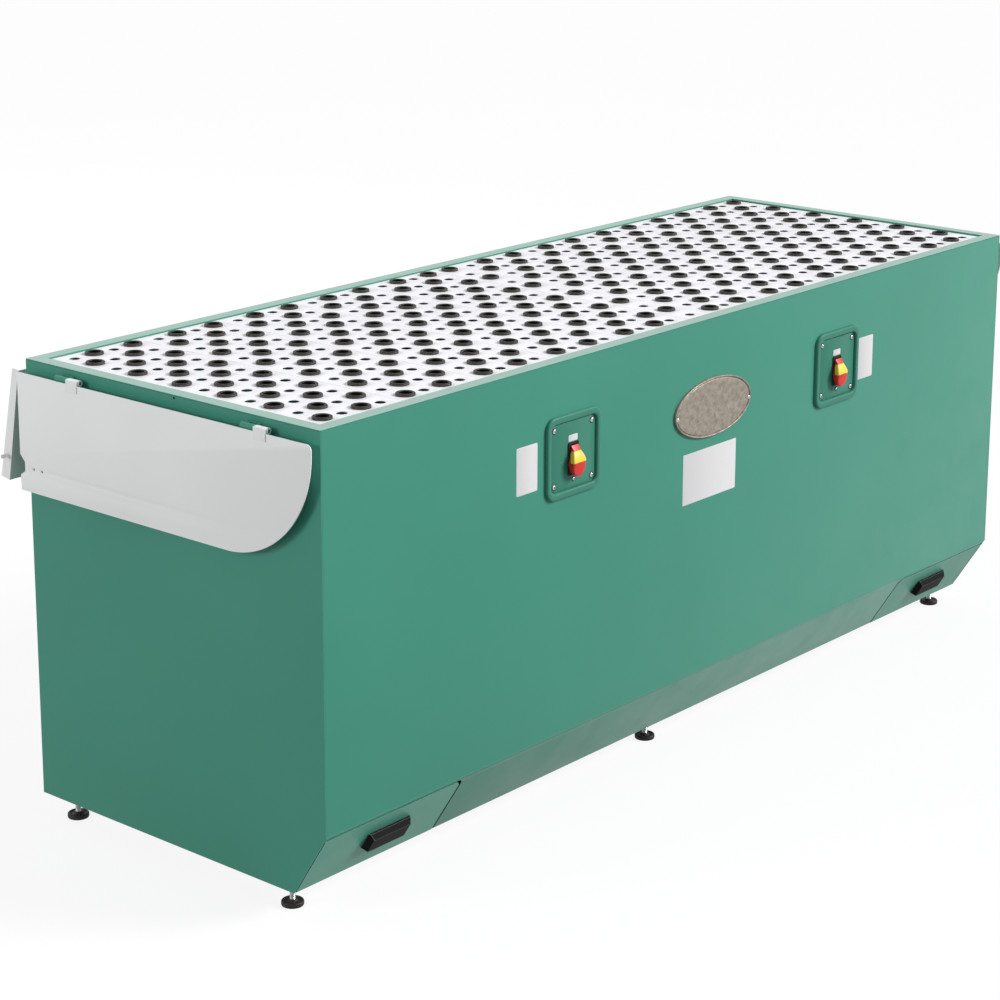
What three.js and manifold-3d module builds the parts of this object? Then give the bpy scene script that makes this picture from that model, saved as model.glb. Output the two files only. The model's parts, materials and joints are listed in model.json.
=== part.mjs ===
// A downdraft sanding table: a sheet steel cabinet whose perforated top carries rubber rings and draws
// dust down past two drawers, two pleated filters and two centrifugal blowers. Two end wings and a rear
// shield hang on lift-off hinges and swing up round the top.
// Millimetres. x runs along the table from its middle, y from the front face back, z up from the floor.
import * as THREE from "three";
import { mergeVertices } from "three/addons/utils/BufferGeometryUtils.js";
import Module from "manifold-3d";

const wasm = await Module();
wasm.setup();

// Cabinet
const tableLength = 2080;
const tableDepth = 712;
const tableHeight = 850;
const sheetThickness = 2;
const bendRadius = 4;
const floorGap = 44;
const bandInset = 76;
const bandDrop = 120;
const returnFlange = 20;
const endHoleRadius = 2.5;
const endHoleSetback = 335;
const endHoleDrop = 6;

// Fits: the gap between pieces that touch, the overlap of welded sheets, the overrun of every cut and the
// largest step that counts as flat
const pieceGap = 0.3;
const weldOverlap = 0.1;
const cutOverrun = 4;
const meshTolerance = 0.002;

// Top frame and its perforated panels
const rimWidth = 27;
const rimRecess = 3;
const ledgeWidth = 20;
const panelThickness = 3;
const panelSeam = 1.3;
const panelRearGap = 0.9;
const panelEndGap = 5.25;
const stripWidth = 65.5;
const panelsPerSide = 5;
const columnMargin = 29.8;
const rowMargin = 28.35;
const columnCount = 4;
const rowCount = 12;
const ringRadius = 15.5;
const ringBoreRadius = 9.5;
const ringHeight = 5;
const ringSides = 5;

// Divider, chutes and filters
const dividerFlange = 50;
const dividerFoot = 40;
const chuteTopDrop = 210;
const chuteFlange = 30;
const chuteLip = 14;
const filterInset = 440;
const filterThickness = 62;
const filterHeight = 404;
const filterBorder = 24;
const filterSetback = 88;
const filterRearGap = 4;
const pleatCount = 12;
const pleatSheet = 2.4;
const pleatMargin = 6;

// Blowers: a scroll housing that blows out of the back, its impeller and its motor
const blowerOffset = 200;
const blowerWidth = 130;
const blowerInset = 317;
const blowerHeight = 240;
const scrollStart = 122;
const scrollGrowth = 48;
const scrollSteps = 12;
const outletHeight = 100;
const blowerFootWidth = 170;
const inletRadius = 78;
const impellerRadius = 108;
const impellerDisc = 3;
const bladeCount = 8;
const bladeLength = 46;
const bladeWidth = 84;
const bladeSheet = 2.5;
const bladeBow = 7;
const hubRadius = 20;
const hubLength = 44;
const impellerInset = 16;
const shaftRadius = 8;
const shaftReach = 40;
const shaftClearance = 1;
const motorRadius = 70;
const motorLength = 168;
const motorShoulder = 12;
const motorCapRadius = 54;
const pedestalWidth = 130;
const pedestalSheet = 4;
const pedestalFlange = 18;
const pedestalRise = 30;

// Exhaust louvres in the back and the cable gland
const louvreCount = 4;
const louvrePitch = 22;
const louvreHeight = 7;
const louvreHood = 8;
const louvreLength = 104;
const glandInset = 170;
const glandHeight = 150;
const glandRadius = 12;
const glandBore = 5;
const glandStub = 9.5;
const glandLength = 24;
const glandNut = 6;
const glandSides = 8;

// Switches in their raised surrounds
const switchOffset = 415;
const surroundDrop = 172;
const surroundWidth = 160;
const surroundHeight = 154;
const surroundRadius = 24;
const surroundRaise = 6.5;
const surroundSlope = 4.5;
const recessWidth = 126;
const recessHeight = 124;
const recessRadius = 14;
const plateInset = 2;
const plateThickness = 1.5;
const switchDrop = 8;
const bezelWidth = 28.5;
const bezelHeight = 60;
const bezelThickness = 2.5;
const housingWidth = 22;
const housingHeight = 50;
const housingDepth = 32;
const paddleWidth = 34;
const paddleTopWidth = 20;
const paddleRise = 24.5;
const paddleFall = 30.5;
const paddleReach = 17.5;
const paddleTipReach = 14.5;
const paddleShoulder = 10.8;
const paddleThrow = 12;
const paddleRootWidth = 16;
const paddleRootHeight = 20;
const paddleRootDepth = 10;
const paddleRootClearance = 3;
const keyRise = 5;
const keyHeight = 20;
const keyDepth = 9;
const keyStemWidth = 10;
const keyStemHeight = 6;
const keyStemDepth = 7;

// Badge
const badgeDrop = 170;
const badgeWidth = 246;
const badgeHeight = 108;
const badgeThickness = 5;
const badgeBorder = 7;
const badgeSink = 1.2;
const rivetSpread = 224.8;
const rivetRadius = 4;
const rivetHeight = 1.6;

// Dust drawers and their cup pulls
const drawerWidth = 338;
const drawerSeam = 2.8;
const drawerTopMargin = 12;
const drawerCorner = 9;
const drawerRearGap = 76;
const trayDrop = 20;
const drawerSideGap = 6;
const pullInset = 179;
const pullWidth = 102;
const pullHeight = 37;
const pullDrop = 50;
const pullReach = 13;
const pullSlope = 6.5;
const pullLift = 3;
const pullWall = 2;
const pullWindow = 6;
const pocketDepth = 12;

// Wings and their lift-off hinges
const hingeDrop = 17;
const knuckleRadius = 5.5;
const knuckleLength = 35;
const knuckleSides = 8;
const pinRadius = 3;
const pinClearance = 0.3;
const leafThickness = 2;
const leafDrop = 21;
const fixedLeafDrop = 24;
const webThickness = 3;
const foldedClearance = 1.4;
const frontHingeSetback = 137;
const rearHingeInset = 121;
const wingThickness = 2;
const wingEdgeDrop = 3.5;
const wingHeight = 212.5;
const wingFrontInset = 2;
const wingOverhang = 2;
const wingRadius = 198;
const wingCorner = 10;
const notchDrop = 172;
const notchDepth = 12;
const notchFlat = 17;
const notchTopRamp = 12.5;
const notchLowRamp = 7.5;
const wingHoleRadius = 3;
const wingHoleSetback = 36;
const wingHoleSpacing = 21.5;
const wingHoleDrop = 173;

// Rear shield, its end flanges and the studs that catch the wings
const shieldLean = THREE.MathUtils.degToRad(9.8);
const shieldThickness = 2;
const shieldTopDrop = 9.5;
const shieldHeight = 207;
const shieldHingeInset = 400;
const shieldWingGap = 0.4;
const ledgeEndInset = 60;
const endFlangeTop = 15.5;
const endFlangeDepth = 23;
const studRadius = 3.5;
const studHeadRadius = 6;
const studHead = 3;
const studNut = 6;
const studSlot = 3;
const studClearance = 0.3;
const studSides = 8;

// Levelling feet
const footInset = 35;
const middleFootOffset = -40;
const frontFootSetback = 115;
const rearFootInset = 52;
const padRadius = 19.5;
const padHeight = 9;
const padRim = 3;
const padTopRadius = 15;
const collarRadius = 8;
const collarHeight = 3;
const stemRadius = 5;
const stemHoleClearance = 0.6;
const nutRadius = 9.5;
const nutHeight = 8;
const footSides = 8;
const nutSides = 6;

// Places worked out from the sizes above
const halfLength = tableLength / 2;
const foldHeight = floorGap + bandDrop;
const skinTop = tableHeight - sheetThickness - pieceGap;
const skinEnd = halfLength - sheetThickness - pieceGap;
const panTop = floorGap + 2 * sheetThickness + pieceGap;
const filterOffset = halfLength - filterInset;
const blowerSetback = tableDepth - blowerInset;
const panelTop = tableHeight - rimRecess;
const openingLength = tableLength - 2 * rimWidth;
const openingDepth = tableDepth - 2 * rimWidth;
const panelCount = 2 * panelsPerSide;
const panelsLength = openingLength - 2 * panelEndGap - stripWidth - panelCount * panelSeam;
const panelWidth = panelsLength / panelCount;
const panelDepth = openingDepth - 2 * panelRearGap;
const columnPitch = (panelWidth - 2 * columnMargin) / (columnCount - 1);
const rowPitch = (panelDepth - 2 * rowMargin) / (rowCount - 1);
const ledgeTop = panelTop - panelThickness - pieceGap;
const insideTop = ledgeTop - sheetThickness - pieceGap;
const insideFront = sheetThickness + pieceGap;
const insideBack = tableDepth - sheetThickness - pieceGap;
const drawerInnerEdge = halfLength - drawerWidth;
const bandAngle = Math.atan2(bandInset, bandDrop);
const bandLength = Math.hypot(bandInset, bandDrop);
const plateOffset = knuckleRadius + pieceGap;
const hingeReach = plateOffset + wingThickness + leafThickness + foldedClearance;
const hingeSpacing = tableDepth - rearHingeInset - frontHingeSetback;
const shieldHingeOffset = halfLength - shieldHingeInset;
const hingeHeight = tableHeight - hingeDrop;
const wingRear = tableDepth + wingOverhang;
const studSetback = hingeReach + notchDepth / 2 - wingOverhang + studClearance;

// Paint and materials
const green = { color: 0x5a9b86, roughness: 0.42, metalness: 0.1 };
const paleGrey = { color: 0xd9dadb, roughness: 0.5, metalness: 0.1 };
const panelWhite = { color: 0xf0eff2, roughness: 0.55, metalness: 0 };
const rubberBlack = { color: 0x23211f, roughness: 0.8, metalness: 0 };
const plasticBlack = { color: 0x191a1a, roughness: 0.5, metalness: 0 };
const zinc = { color: 0xb9bcc0, roughness: 0.3, metalness: 0.9 };
const castPewter = { color: 0x8d8378, roughness: 0.5, metalness: 0.7 };
const switchRed = { color: 0xd62b22, roughness: 0.4, metalness: 0 };
const keyYellow = { color: 0xf2d63a, roughness: 0.4, metalness: 0 };
const filterPaper = { color: 0xd8cfb4, roughness: 0.95, metalness: 0 };
const galvanised = { color: 0x9fa5a8, roughness: 0.45, metalness: 0.8 };
const motorGrey = { color: 0x3c4145, roughness: 0.5, metalness: 0.4 };

// The closed solid of a geometry, for joining and cutting
function toSolid(geometry) {
  const bare = new THREE.BufferGeometry();
  bare.setAttribute("position", geometry.getAttribute("position").clone());
  if (geometry.index) bare.setIndex(geometry.index.clone());
  const merged = mergeVertices(bare);
  const triVerts = new Uint32Array(merged.index.array);
  const vertProperties = new Float32Array(merged.getAttribute("position").array);
  return new wasm.Manifold(new wasm.Mesh({ numProp: 3, vertProperties, triVerts }));
}

// The geometry of a solid after joining and cutting
function toGeometry(solid) {
  const mesh = solid.asOriginal().simplify(meshTolerance).getMesh();
  const geometry = new THREE.BufferGeometry();
  geometry.setAttribute("position", new THREE.BufferAttribute(new Float32Array(mesh.vertProperties), 3));
  geometry.setIndex(new THREE.BufferAttribute(new Uint32Array(mesh.triVerts), 1));
  geometry.computeVertexNormals();
  return geometry;
}

function join(geometries) {
  return toGeometry(geometries.map(toSolid).reduce((sum, solid) => sum.add(solid)));
}

function cut(geometry, tools) {
  return toGeometry(tools.map(toSolid).reduce((rest, solid) => rest.subtract(solid), toSolid(geometry)));
}

function common(first, second) {
  return toGeometry(toSolid(first).intersect(toSolid(second)));
}

// The same geometry on the other side of the plane x = 0
function mirrored(geometry) {
  const flipped = mergeVertices(geometry.clone().deleteAttribute("normal"));
  flipped.scale(-1, 1, 1);
  const corners = flipped.index.array;
  for (let corner = 0; corner < corners.length; corner += 3) {
    [corners[corner], corners[corner + 1]] = [corners[corner + 1], corners[corner]];
  }
  flipped.computeVertexNormals();
  return flipped;
}

// A block between two corners
function block(low, high) {
  const size = high.map((value, axis) => value - low[axis]);
  const middle = high.map((value, axis) => (value + low[axis]) / 2);
  return new THREE.BoxGeometry(...size).translate(...middle);
}

function outline(points) {
  return new THREE.Shape(points.map(([u, v]) => new THREE.Vector2(u, v)));
}

// A rectangle about the origin with round corners
function roundedRectangle(width, height, radius) {
  const right = width / 2 - radius;
  const top = height / 2 - radius;
  const shape = new THREE.Shape();
  shape.absarc(right, top, radius, 0, Math.PI / 2);
  shape.absarc(-right, top, radius, Math.PI / 2, Math.PI);
  shape.absarc(-right, -top, radius, Math.PI, 1.5 * Math.PI);
  shape.absarc(right, -top, radius, 1.5 * Math.PI, 2 * Math.PI);
  return shape;
}

// Extrusions of a shape: along x from a shape in (y, z), and back along y from a shape in (x, z)
const axisX = new THREE.Vector3(1, 0, 0);
const axisY = new THREE.Vector3(0, 1, 0);
const axisZ = new THREE.Vector3(0, 0, 1);
const shapeToAlongX = new THREE.Matrix4().makeBasis(axisY, axisZ, axisX);
const shapeToAlongY = new THREE.Matrix4().makeBasis(axisX, axisZ, axisY.clone().negate());

function extrude(shape, depth, curveSegments = 2, bevel = {}) {
  return new THREE.ExtrudeGeometry(shape, { depth, curveSegments, steps: 1, bevelEnabled: false, ...bevel });
}

function alongX(shape, start, end, curveSegments) {
  return extrude(shape, end - start, curveSegments).applyMatrix4(shapeToAlongX).translate(start, 0, 0);
}

// Along x from a shape in (up the band, outward)
function alongBand(shape, start, end) {
  return extrude(shape, end - start).applyMatrix4(shapeToAlongX).translate(start, 0, 0);
}

function alongY(shape, start, end, curveSegments) {
  return extrude(shape, end - start, curveSegments).applyMatrix4(shapeToAlongY).translate(0, end, 0);
}

// A round bar along x, y or z between two places
function barAlong(direction, radius, start, end, sides) {
  const bar = new THREE.CylinderGeometry(radius, radius, end - start, sides);
  bar.applyQuaternion(new THREE.Quaternion().setFromUnitVectors(axisY, direction));
  return bar.translate(...direction.clone().multiplyScalar((start + end) / 2).toArray());
}

// The outline of a bent sheet: a line of its outer face, its bends rounded, and the sheet to the left of it
function bentSheet(points, thickness, radius = bendRadius) {
  const line = points.map(([u, v]) => new THREE.Vector2(u, v));
  const face = [];
  const normalOf = (from, to) => {
    const way = to.clone().sub(from).normalize();
    return new THREE.Vector2(-way.y, way.x);
  };
  line.forEach((point, index) => {
    if (index === 0 || index === line.length - 1) {
      const from = line[Math.max(index - 1, 0)];
      face.push({ point, normal: normalOf(from, line[Math.max(index, 1)]) });
      return;
    }
    const first = normalOf(line[index - 1], point);
    const last = normalOf(point, line[index + 1]);
    const turn = Math.atan2(first.cross(last), first.dot(last));
    const setback = radius * Math.tan(Math.abs(turn) / 2);
    const wayIn = point.clone().sub(line[index - 1]).normalize();
    const start = point.clone().addScaledVector(wayIn, -setback);
    const centre = start.clone().addScaledVector(first, radius * Math.sign(turn));
    for (const share of [0, 0.5, 1]) {
      const normal = first.clone().rotateAround(new THREE.Vector2(), turn * share);
      const place = centre.clone().addScaledVector(normal, -radius * Math.sign(turn));
      face.push({ point: place, normal });
    }
  });
  const inner = face.map(({ point, normal }) => point.clone().addScaledVector(normal, thickness)).reverse();
  return new THREE.Shape([...face.map(({ point }) => point), ...inner]);
}

const table = new THREE.Group();

// Names a piece, gives it its own material and puts it in a group
function addPiece(name, geometry, look, place = [0, 0, 0], group = table) {
  const mesh = new THREE.Mesh(geometry, new THREE.MeshStandardMaterial(look));
  mesh.name = name;
  mesh.position.set(...place);
  group.add(mesh);
  return mesh;
}

const sides = [
  { side: "left", sign: -1 },
  { side: "right", sign: 1 },
];

// A geometry made for the right-hand side, as it stands on either side
function onSide(geometry, sign) {
  return sign > 0 ? geometry : mirrored(geometry);
}

// Front panel: one sheet bent in at the fold, with two raised switch surrounds and two drawer openings
function frontPanelGeometry() {
  const profile = bentSheet([
    [bandInset + returnFlange, floorGap],
    [bandInset, floorGap],
    [0, foldHeight],
    [0, skinTop],
  ].reverse(), sheetThickness);
  const sheet = alongX(profile, -skinEnd, skinEnd);
  const surroundHeightUp = tableHeight - surroundDrop;
  const surrounds = [-switchOffset, switchOffset].map((x) =>
    surroundGeometry().translate(x, 0, surroundHeightUp));
  const housingUp = surroundHeightUp - switchDrop;
  const housingHoles = [-switchOffset, switchOffset].map((x) => block(
    [x - housingWidth / 2 - pieceGap, -cutOverrun, housingUp - housingHeight / 2 - pieceGap],
    [x + housingWidth / 2 + pieceGap, sheetThickness + cutOverrun, housingUp + housingHeight / 2 + pieceGap],
  ));
  const opening = drawerOpening();
  return cut(join([sheet, ...surrounds]), [...housingHoles, opening, mirrored(opening)]);
}

// The pressed surround of a switch: a raised frame with sloping sides round a flat recess
function surroundGeometry() {
  const inner = roundedRectangle(
    recessWidth + 2 * surroundSlope,
    recessHeight + 2 * surroundSlope,
    recessRadius + surroundSlope,
  );
  const outer = roundedRectangle(
    surroundWidth - 2 * surroundSlope,
    surroundHeight - 2 * surroundSlope,
    surroundRadius - surroundSlope,
  );
  outer.holes.push(new THREE.Path(inner.getPoints(1)));
  const bevel = {
    bevelEnabled: true,
    bevelThickness: surroundRaise,
    bevelSize: surroundSlope,
    bevelSegments: 1,
  };
  const frame = extrude(outer, weldOverlap, 1, bevel).applyMatrix4(shapeToAlongY);
  const front = block(
    [-surroundWidth, -surroundRaise - cutOverrun, -surroundHeight],
    [surroundWidth, sheetThickness / 2, surroundHeight],
  );
  return common(frame, front);
}

// What a right-hand drawer takes out of the sloping band, with its chamfered inner top corner
function drawerOpening() {
  const inner = drawerInnerEdge - drawerSeam;
  const top = bandLength - drawerTopMargin + drawerSeam;
  const shape = outline([
    [inner, -cutOverrun],
    [inner, top - drawerCorner],
    [inner + drawerCorner, top],
    [halfLength, top],
    [halfLength, -cutOverrun],
  ]);
  const depth = returnFlange + 2 * cutOverrun;
  return onBand(extrude(shape, depth + bandInset / 2).translate(0, 0, -depth));
}

// Turns a piece drawn in (x, up the band, outward) onto the sloping band
function onBand(geometry) {
  const up = new THREE.Vector3(0, -Math.sin(bandAngle), Math.cos(bandAngle));
  const outward = new THREE.Vector3(0, -Math.cos(bandAngle), -Math.sin(bandAngle));
  const matrix = new THREE.Matrix4().makeBasis(axisX, up, outward).setPosition(0, bandInset, floorGap);
  return geometry.applyMatrix4(matrix);
}

// How far back the band's face lies at a height, or a face at some depth behind it
function bandFace(height, depth) {
  return bandInset - (height - floorGap) * bandInset / bandDrop + depth / Math.cos(bandAngle);
}

function addCabinet() {
  addPiece("front_panel", frontPanelGeometry(), green);
  addPiece("rear_panel", rearPanelGeometry(), green);
  for (const { side, sign } of sides) {
    addPiece(`${side}_end_panel`, onSide(endPanelGeometry(), sign), green);
  }
  addPiece("base_pan", basePanGeometry(), galvanised);
  addPiece("centre_divider", dividerGeometry(), galvanised);
  addPiece("top_frame", topFrameGeometry(), green);
}

function endPanelGeometry() {
  const shape = outline([
    [0, skinTop],
    [0, foldHeight],
    [bandInset, floorGap],
    [tableDepth, floorGap],
    [tableDepth, skinTop],
  ]);
  const panel = alongX(shape, halfLength - sheetThickness, halfLength);
  const hole = barAlong(axisX, endHoleRadius, halfLength - 2 * cutOverrun, halfLength + cutOverrun, 6)
    .translate(0, endHoleSetback, tableHeight - endHoleDrop);
  return cut(panel, [hole]);
}

// Rear panel: a bent sheet with a bank of hooded louvres behind each blower and the hole of the gland
function rearPanelGeometry() {
  const profile = bentSheet([
    [tableDepth - returnFlange, floorGap],
    [tableDepth, floorGap],
    [tableDepth, skinTop],
  ], sheetThickness);
  const sheet = alongX(profile, -skinEnd, skinEnd);
  const hoods = [];
  const slots = [];
  for (const { sign } of sides) {
    const middle = sign * (blowerOffset + blowerWidth / 2);
    for (let index = 0; index < louvreCount; index += 1) {
      const sill = outletMiddle() + (index - louvreCount / 2) * louvrePitch;
      hoods.push(louvreHoodGeometry().translate(middle, tableDepth, sill));
      slots.push(block(
        [middle - louvreLength / 2 + sheetThickness, tableDepth - 2 * cutOverrun, sill],
        [middle + louvreLength / 2 - sheetThickness, tableDepth + sheetThickness, sill + louvreHeight],
      ));
    }
  }
  const holeStart = insideBack - cutOverrun;
  const glandHole = barAlong(axisY, glandStub + pieceGap, holeStart, tableDepth + cutOverrun, glandSides)
    .translate(halfLength - glandInset, 0, glandHeight);
  return cut(join([sheet, ...hoods]), [...slots, glandHole]);
}

// The hood of one louvre: a wedge that opens downward
function louvreHoodGeometry() {
  const shape = outline([
    [-weldOverlap, louvreHeight + louvreHood],
    [-weldOverlap, louvreHeight],
    [0, louvreHeight],
    [louvreHood - sheetThickness, 0],
    [louvreHood, 0],
  ]);
  return alongX(shape, -louvreLength / 2, louvreLength / 2);
}

function outletMiddle() {
  return blowerHeight + scrollStart + scrollGrowth - outletHeight / 2;
}

// Base pan: rests on the return flanges of the front and rear panels, with turned-up ends
function basePanGeometry() {
  const bottom = panTop - sheetThickness;
  const profile = bentSheet([
    [-skinEnd, bottom + returnFlange],
    [-skinEnd, bottom],
    [skinEnd, bottom],
    [skinEnd, bottom + returnFlange],
  ], sheetThickness);
  const front = bandInset + 2 * sheetThickness;
  const pan = alongY(profile, front, tableDepth - bendRadius - pieceGap);
  const holes = footPlaces().map(([x, y]) =>
    barAlong(axisZ, stemRadius + stemHoleClearance, bottom - cutOverrun, bottom + 2 * cutOverrun, footSides)
      .translate(x, y, 0));
  return cut(pan, holes);
}

function footPlaces() {
  const end = halfLength - footInset;
  return [frontFootSetback, tableDepth - rearFootInset].flatMap((y) =>
    [-end, middleFootOffset, end].map((x) => [x, y]));
}

// Centre divider: a web between the two halves with a flange under the top frame and one on the pan
function dividerGeometry() {
  const foot = panTop + pieceGap;
  const innerFold = foldHeight + insideFront * Math.tan(bandAngle / 2);
  const web = alongX(outline([
    [insideFront, insideTop],
    [insideFront, innerFold],
    [bandFace(foot, insideFront), foot],
    [insideBack, foot],
    [insideBack, insideTop],
  ]), -sheetThickness / 2, sheetThickness / 2);
  const topFlange = block(
    [-dividerFlange / 2, insideFront, insideTop - sheetThickness],
    [dividerFlange / 2, insideBack, insideTop],
  );
  const footFlange = block(
    [-dividerFoot / 2, bandInset + returnFlange, foot],
    [dividerFoot / 2, insideBack, foot + sheetThickness],
  );
  return join([web, topFlange, footFlange]);
}

function rectangle(width, depth) {
  return outline([
    [-width / 2, -depth / 2],
    [width / 2, -depth / 2],
    [width / 2, depth / 2],
    [-width / 2, depth / 2],
  ]);
}

// A flat ring of sheet with a rectangular opening, about the middle of the top
function rectangularRing(width, depth, border, low, high) {
  const shape = rectangle(width, depth);
  shape.holes.push(new THREE.Path(rectangle(width - 2 * border, depth - 2 * border).getPoints()));
  return extrude(shape, high - low).translate(0, tableDepth / 2, low);
}

// Top frame: the flat rim, its inner lip and the ledge that the panels rest on
function topFrameGeometry() {
  const lipLength = openingLength + 2 * sheetThickness;
  const lipDepth = openingDepth + 2 * sheetThickness;
  return join([
    rectangularRing(tableLength, tableDepth, rimWidth, tableHeight - sheetThickness, tableHeight),
    rectangularRing(lipLength, lipDepth, sheetThickness, ledgeTop - sheetThickness, tableHeight),
    rectangularRing(lipLength, lipDepth, sheetThickness + ledgeWidth, ledgeTop - sheetThickness, ledgeTop),
  ]);
}

// One rubber ring: a shoulder that tapers up to its bore
function ringShoulder(x, y) {
  return new THREE.CylinderGeometry(ringBoreRadius, ringRadius, ringHeight + weldOverlap, ringSides)
    .rotateX(Math.PI / 2)
    .translate(x, y, (ringHeight - weldOverlap) / 2);
}

function ringBore(x, y) {
  return new THREE.CylinderGeometry(ringBoreRadius, ringBoreRadius, 4 * ringHeight, ringSides)
    .rotateX(Math.PI / 2)
    .translate(x, y, 0);
}

// A perforated panel about the middle of its top face, its rings set like a chequerboard
function perforatedPanelGeometry(width, columns, firstRing) {
  const plate = block([-width / 2, -panelDepth / 2, -panelThickness], [width / 2, panelDepth / 2, 0]);
  const shoulders = [];
  const bores = [];
  for (let row = 0; row < rowCount; row += 1) {
    for (let column = 0; column < columns; column += 1) {
      if ((row + column) % 2 !== firstRing) continue;
      const x = (column - (columns - 1) / 2) * columnPitch;
      const y = ((rowCount - 1) / 2 - row) * rowPitch;
      shoulders.push(ringShoulder(x, y));
      bores.push(ringBore(x, y));
    }
  }
  return cut(join([plate, ...shoulders]), bores);
}

function addTop() {
  const middle = tableDepth / 2;
  const panel = perforatedPanelGeometry(panelWidth, columnCount, 1);
  const pitch = panelWidth + panelSeam;
  const start = stripWidth / 2 + panelSeam + panelWidth / 2;
  for (let index = 0; index < panelCount; index += 1) {
    const x = index < panelsPerSide
      ? -start - (panelsPerSide - 1 - index) * pitch
      : start + (index - panelsPerSide) * pitch;
    addPiece(`table_panel_${index + 1}`, panel, panelWhite, [x, middle, panelTop]);
  }
  addPiece("centre_strip", perforatedPanelGeometry(stripWidth, 1, 0), panelWhite, [0, middle, panelTop]);
}

// Chute: from the divider down over the filter, so that heavy dust falls into the drawer
function chuteGeometry() {
  const filterTop = panTop + pieceGap + filterHeight;
  const under = filterTop + pieceGap;
  const chuteTop = tableHeight - chuteTopDrop;
  const profile = bentSheet([
    [sheetThickness / 2 + pieceGap, chuteTop],
    [sheetThickness / 2 + pieceGap, chuteTop - chuteFlange],
    [filterOffset - filterThickness / 2, under],
    [filterOffset + filterThickness + bendRadius, under],
    [filterOffset + filterThickness + bendRadius, under - chuteLip],
  ], sheetThickness);
  return alongY(profile, insideFront, insideBack);
}

// Pleated filter: a frame round a zigzag of filter paper
function filterGeometry() {
  const depth = insideBack - filterRearGap - filterSetback;
  const frame = block([0, 0, 0], [filterThickness, depth, filterHeight]);
  const window = block(
    [-cutOverrun, filterBorder, filterBorder],
    [filterThickness + cutOverrun, depth - filterBorder, filterHeight - filterBorder],
  );
  const span = depth - 2 * filterBorder + 2 * weldOverlap;
  const step = span / (2 * pleatCount);
  const near = [];
  for (let fold = 0; fold <= 2 * pleatCount; fold += 1) {
    const x = fold % 2 ? filterThickness - pleatMargin - pleatSheet : pleatMargin;
    near.push([x, filterBorder - weldOverlap + fold * step]);
  }
  const far = near.map(([x, y]) => [x + pleatSheet, y]).reverse();
  const pleats = extrude(outline([...near, ...far]), filterHeight - 2 * filterBorder + 2 * weldOverlap)
    .translate(0, 0, filterBorder - weldOverlap);
  return join([cut(frame, [window]), pleats]);
}

// The scroll's outline in (y, z) about the shaft, drawn in by a wall, with its outlet towards the back
function scrollOutline(wall) {
  const points = [];
  for (let step = 0; step <= scrollSteps; step += 1) {
    const share = step / scrollSteps;
    const angle = 1.5 * Math.PI * share + Math.PI / 2;
    const radius = scrollStart + scrollGrowth * (1 - share) - wall;
    points.push([radius * Math.cos(angle), radius * Math.sin(angle)]);
  }
  const outletTop = scrollStart + scrollGrowth - wall;
  const outletLow = scrollStart + scrollGrowth - outletHeight + wall;
  const back = insideBack - blowerSetback + (wall ? cutOverrun : 0);
  points.push([Math.sqrt(scrollStart ** 2 - outletLow ** 2) - wall, outletLow]);
  points.push([back, outletLow], [back, outletTop]);
  return outline(points);
}

// Blower housing: a hollow scroll with an inlet, a shaft hole, an open outlet and a foot on the pan
function blowerHousingGeometry() {
  const outer = alongX(scrollOutline(0), 0, blowerWidth);
  const foot = block(
    [0, -blowerFootWidth / 2, panTop + pieceGap - blowerHeight],
    [blowerWidth, blowerFootWidth / 2, -scrollStart * Math.SQRT1_2],
  );
  const cavity = alongX(scrollOutline(sheetThickness), sheetThickness, blowerWidth - sheetThickness);
  const inlet = barAlong(axisX, inletRadius, blowerWidth - 2 * cutOverrun, blowerWidth + cutOverrun, 12);
  const shaftHole = barAlong(axisX, shaftRadius + shaftClearance, -cutOverrun, 2 * cutOverrun, 8);
  return cut(join([outer, foot]), [cavity, inlet, shaftHole]);
}

// Impeller: a disc with bowed blades, a hub and the shaft that runs into the motor
function impellerGeometry() {
  const disc = barAlong(axisX, impellerRadius, 0, impellerDisc, 12);
  const hub = barAlong(axisX, hubRadius, 0, hubLength, 10);
  const motorFace = -impellerInset - pieceGap;
  const shaft = barAlong(axisX, shaftRadius, motorFace - shaftReach, hubLength / 2, 8);
  const blades = [];
  for (let index = 0; index < bladeCount; index += 1) {
    blades.push(bladeGeometry().rotateX(2 * Math.PI * index / bladeCount));
  }
  return join([disc, hub, shaft, ...blades]);
}

function bladeGeometry() {
  const inner = impellerRadius - bladeLength;
  const near = [[inner, 0], [inner + bladeLength / 2, bladeBow], [impellerRadius - bladeSheet, 0]];
  const far = near.map(([u, v]) => [u, v + bladeSheet]).reverse();
  return alongX(outline([...near, ...far]), impellerDisc - weldOverlap, bladeWidth);
}

// Motor: a barrel with stepped ends on a folded pedestal, with the bore that takes the shaft
function motorGeometry() {
  const profile = [
    [0, 0],
    [motorCapRadius, 0],
    [motorRadius, motorShoulder],
    [motorRadius, motorLength - motorShoulder],
    [motorCapRadius, motorLength],
    [0, motorLength],
  ];
  const barrel = new THREE.LatheGeometry(profile.map(([r, l]) => new THREE.Vector2(r, l)), 12)
    .rotateZ(-Math.PI / 2);
  const floor = panTop + pieceGap - blowerHeight;
  const pedestal = alongX(bentSheet([
    [-pedestalWidth / 2 - pedestalFlange, floor],
    [-pedestalWidth / 2, floor],
    [-pedestalWidth / 4, -motorRadius],
    [pedestalWidth / 4, -motorRadius],
    [pedestalWidth / 2, floor],
    [pedestalWidth / 2 + pedestalFlange, floor],
  ], pedestalSheet), pedestalRise, motorLength - pedestalRise);
  const boreStart = motorLength - shaftReach - impellerInset;
  const bore = barAlong(axisX, shaftRadius + shaftClearance, boreStart, motorLength + cutOverrun, 8);
  return cut(join([barrel, pedestal]), [bore]);
}

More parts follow.
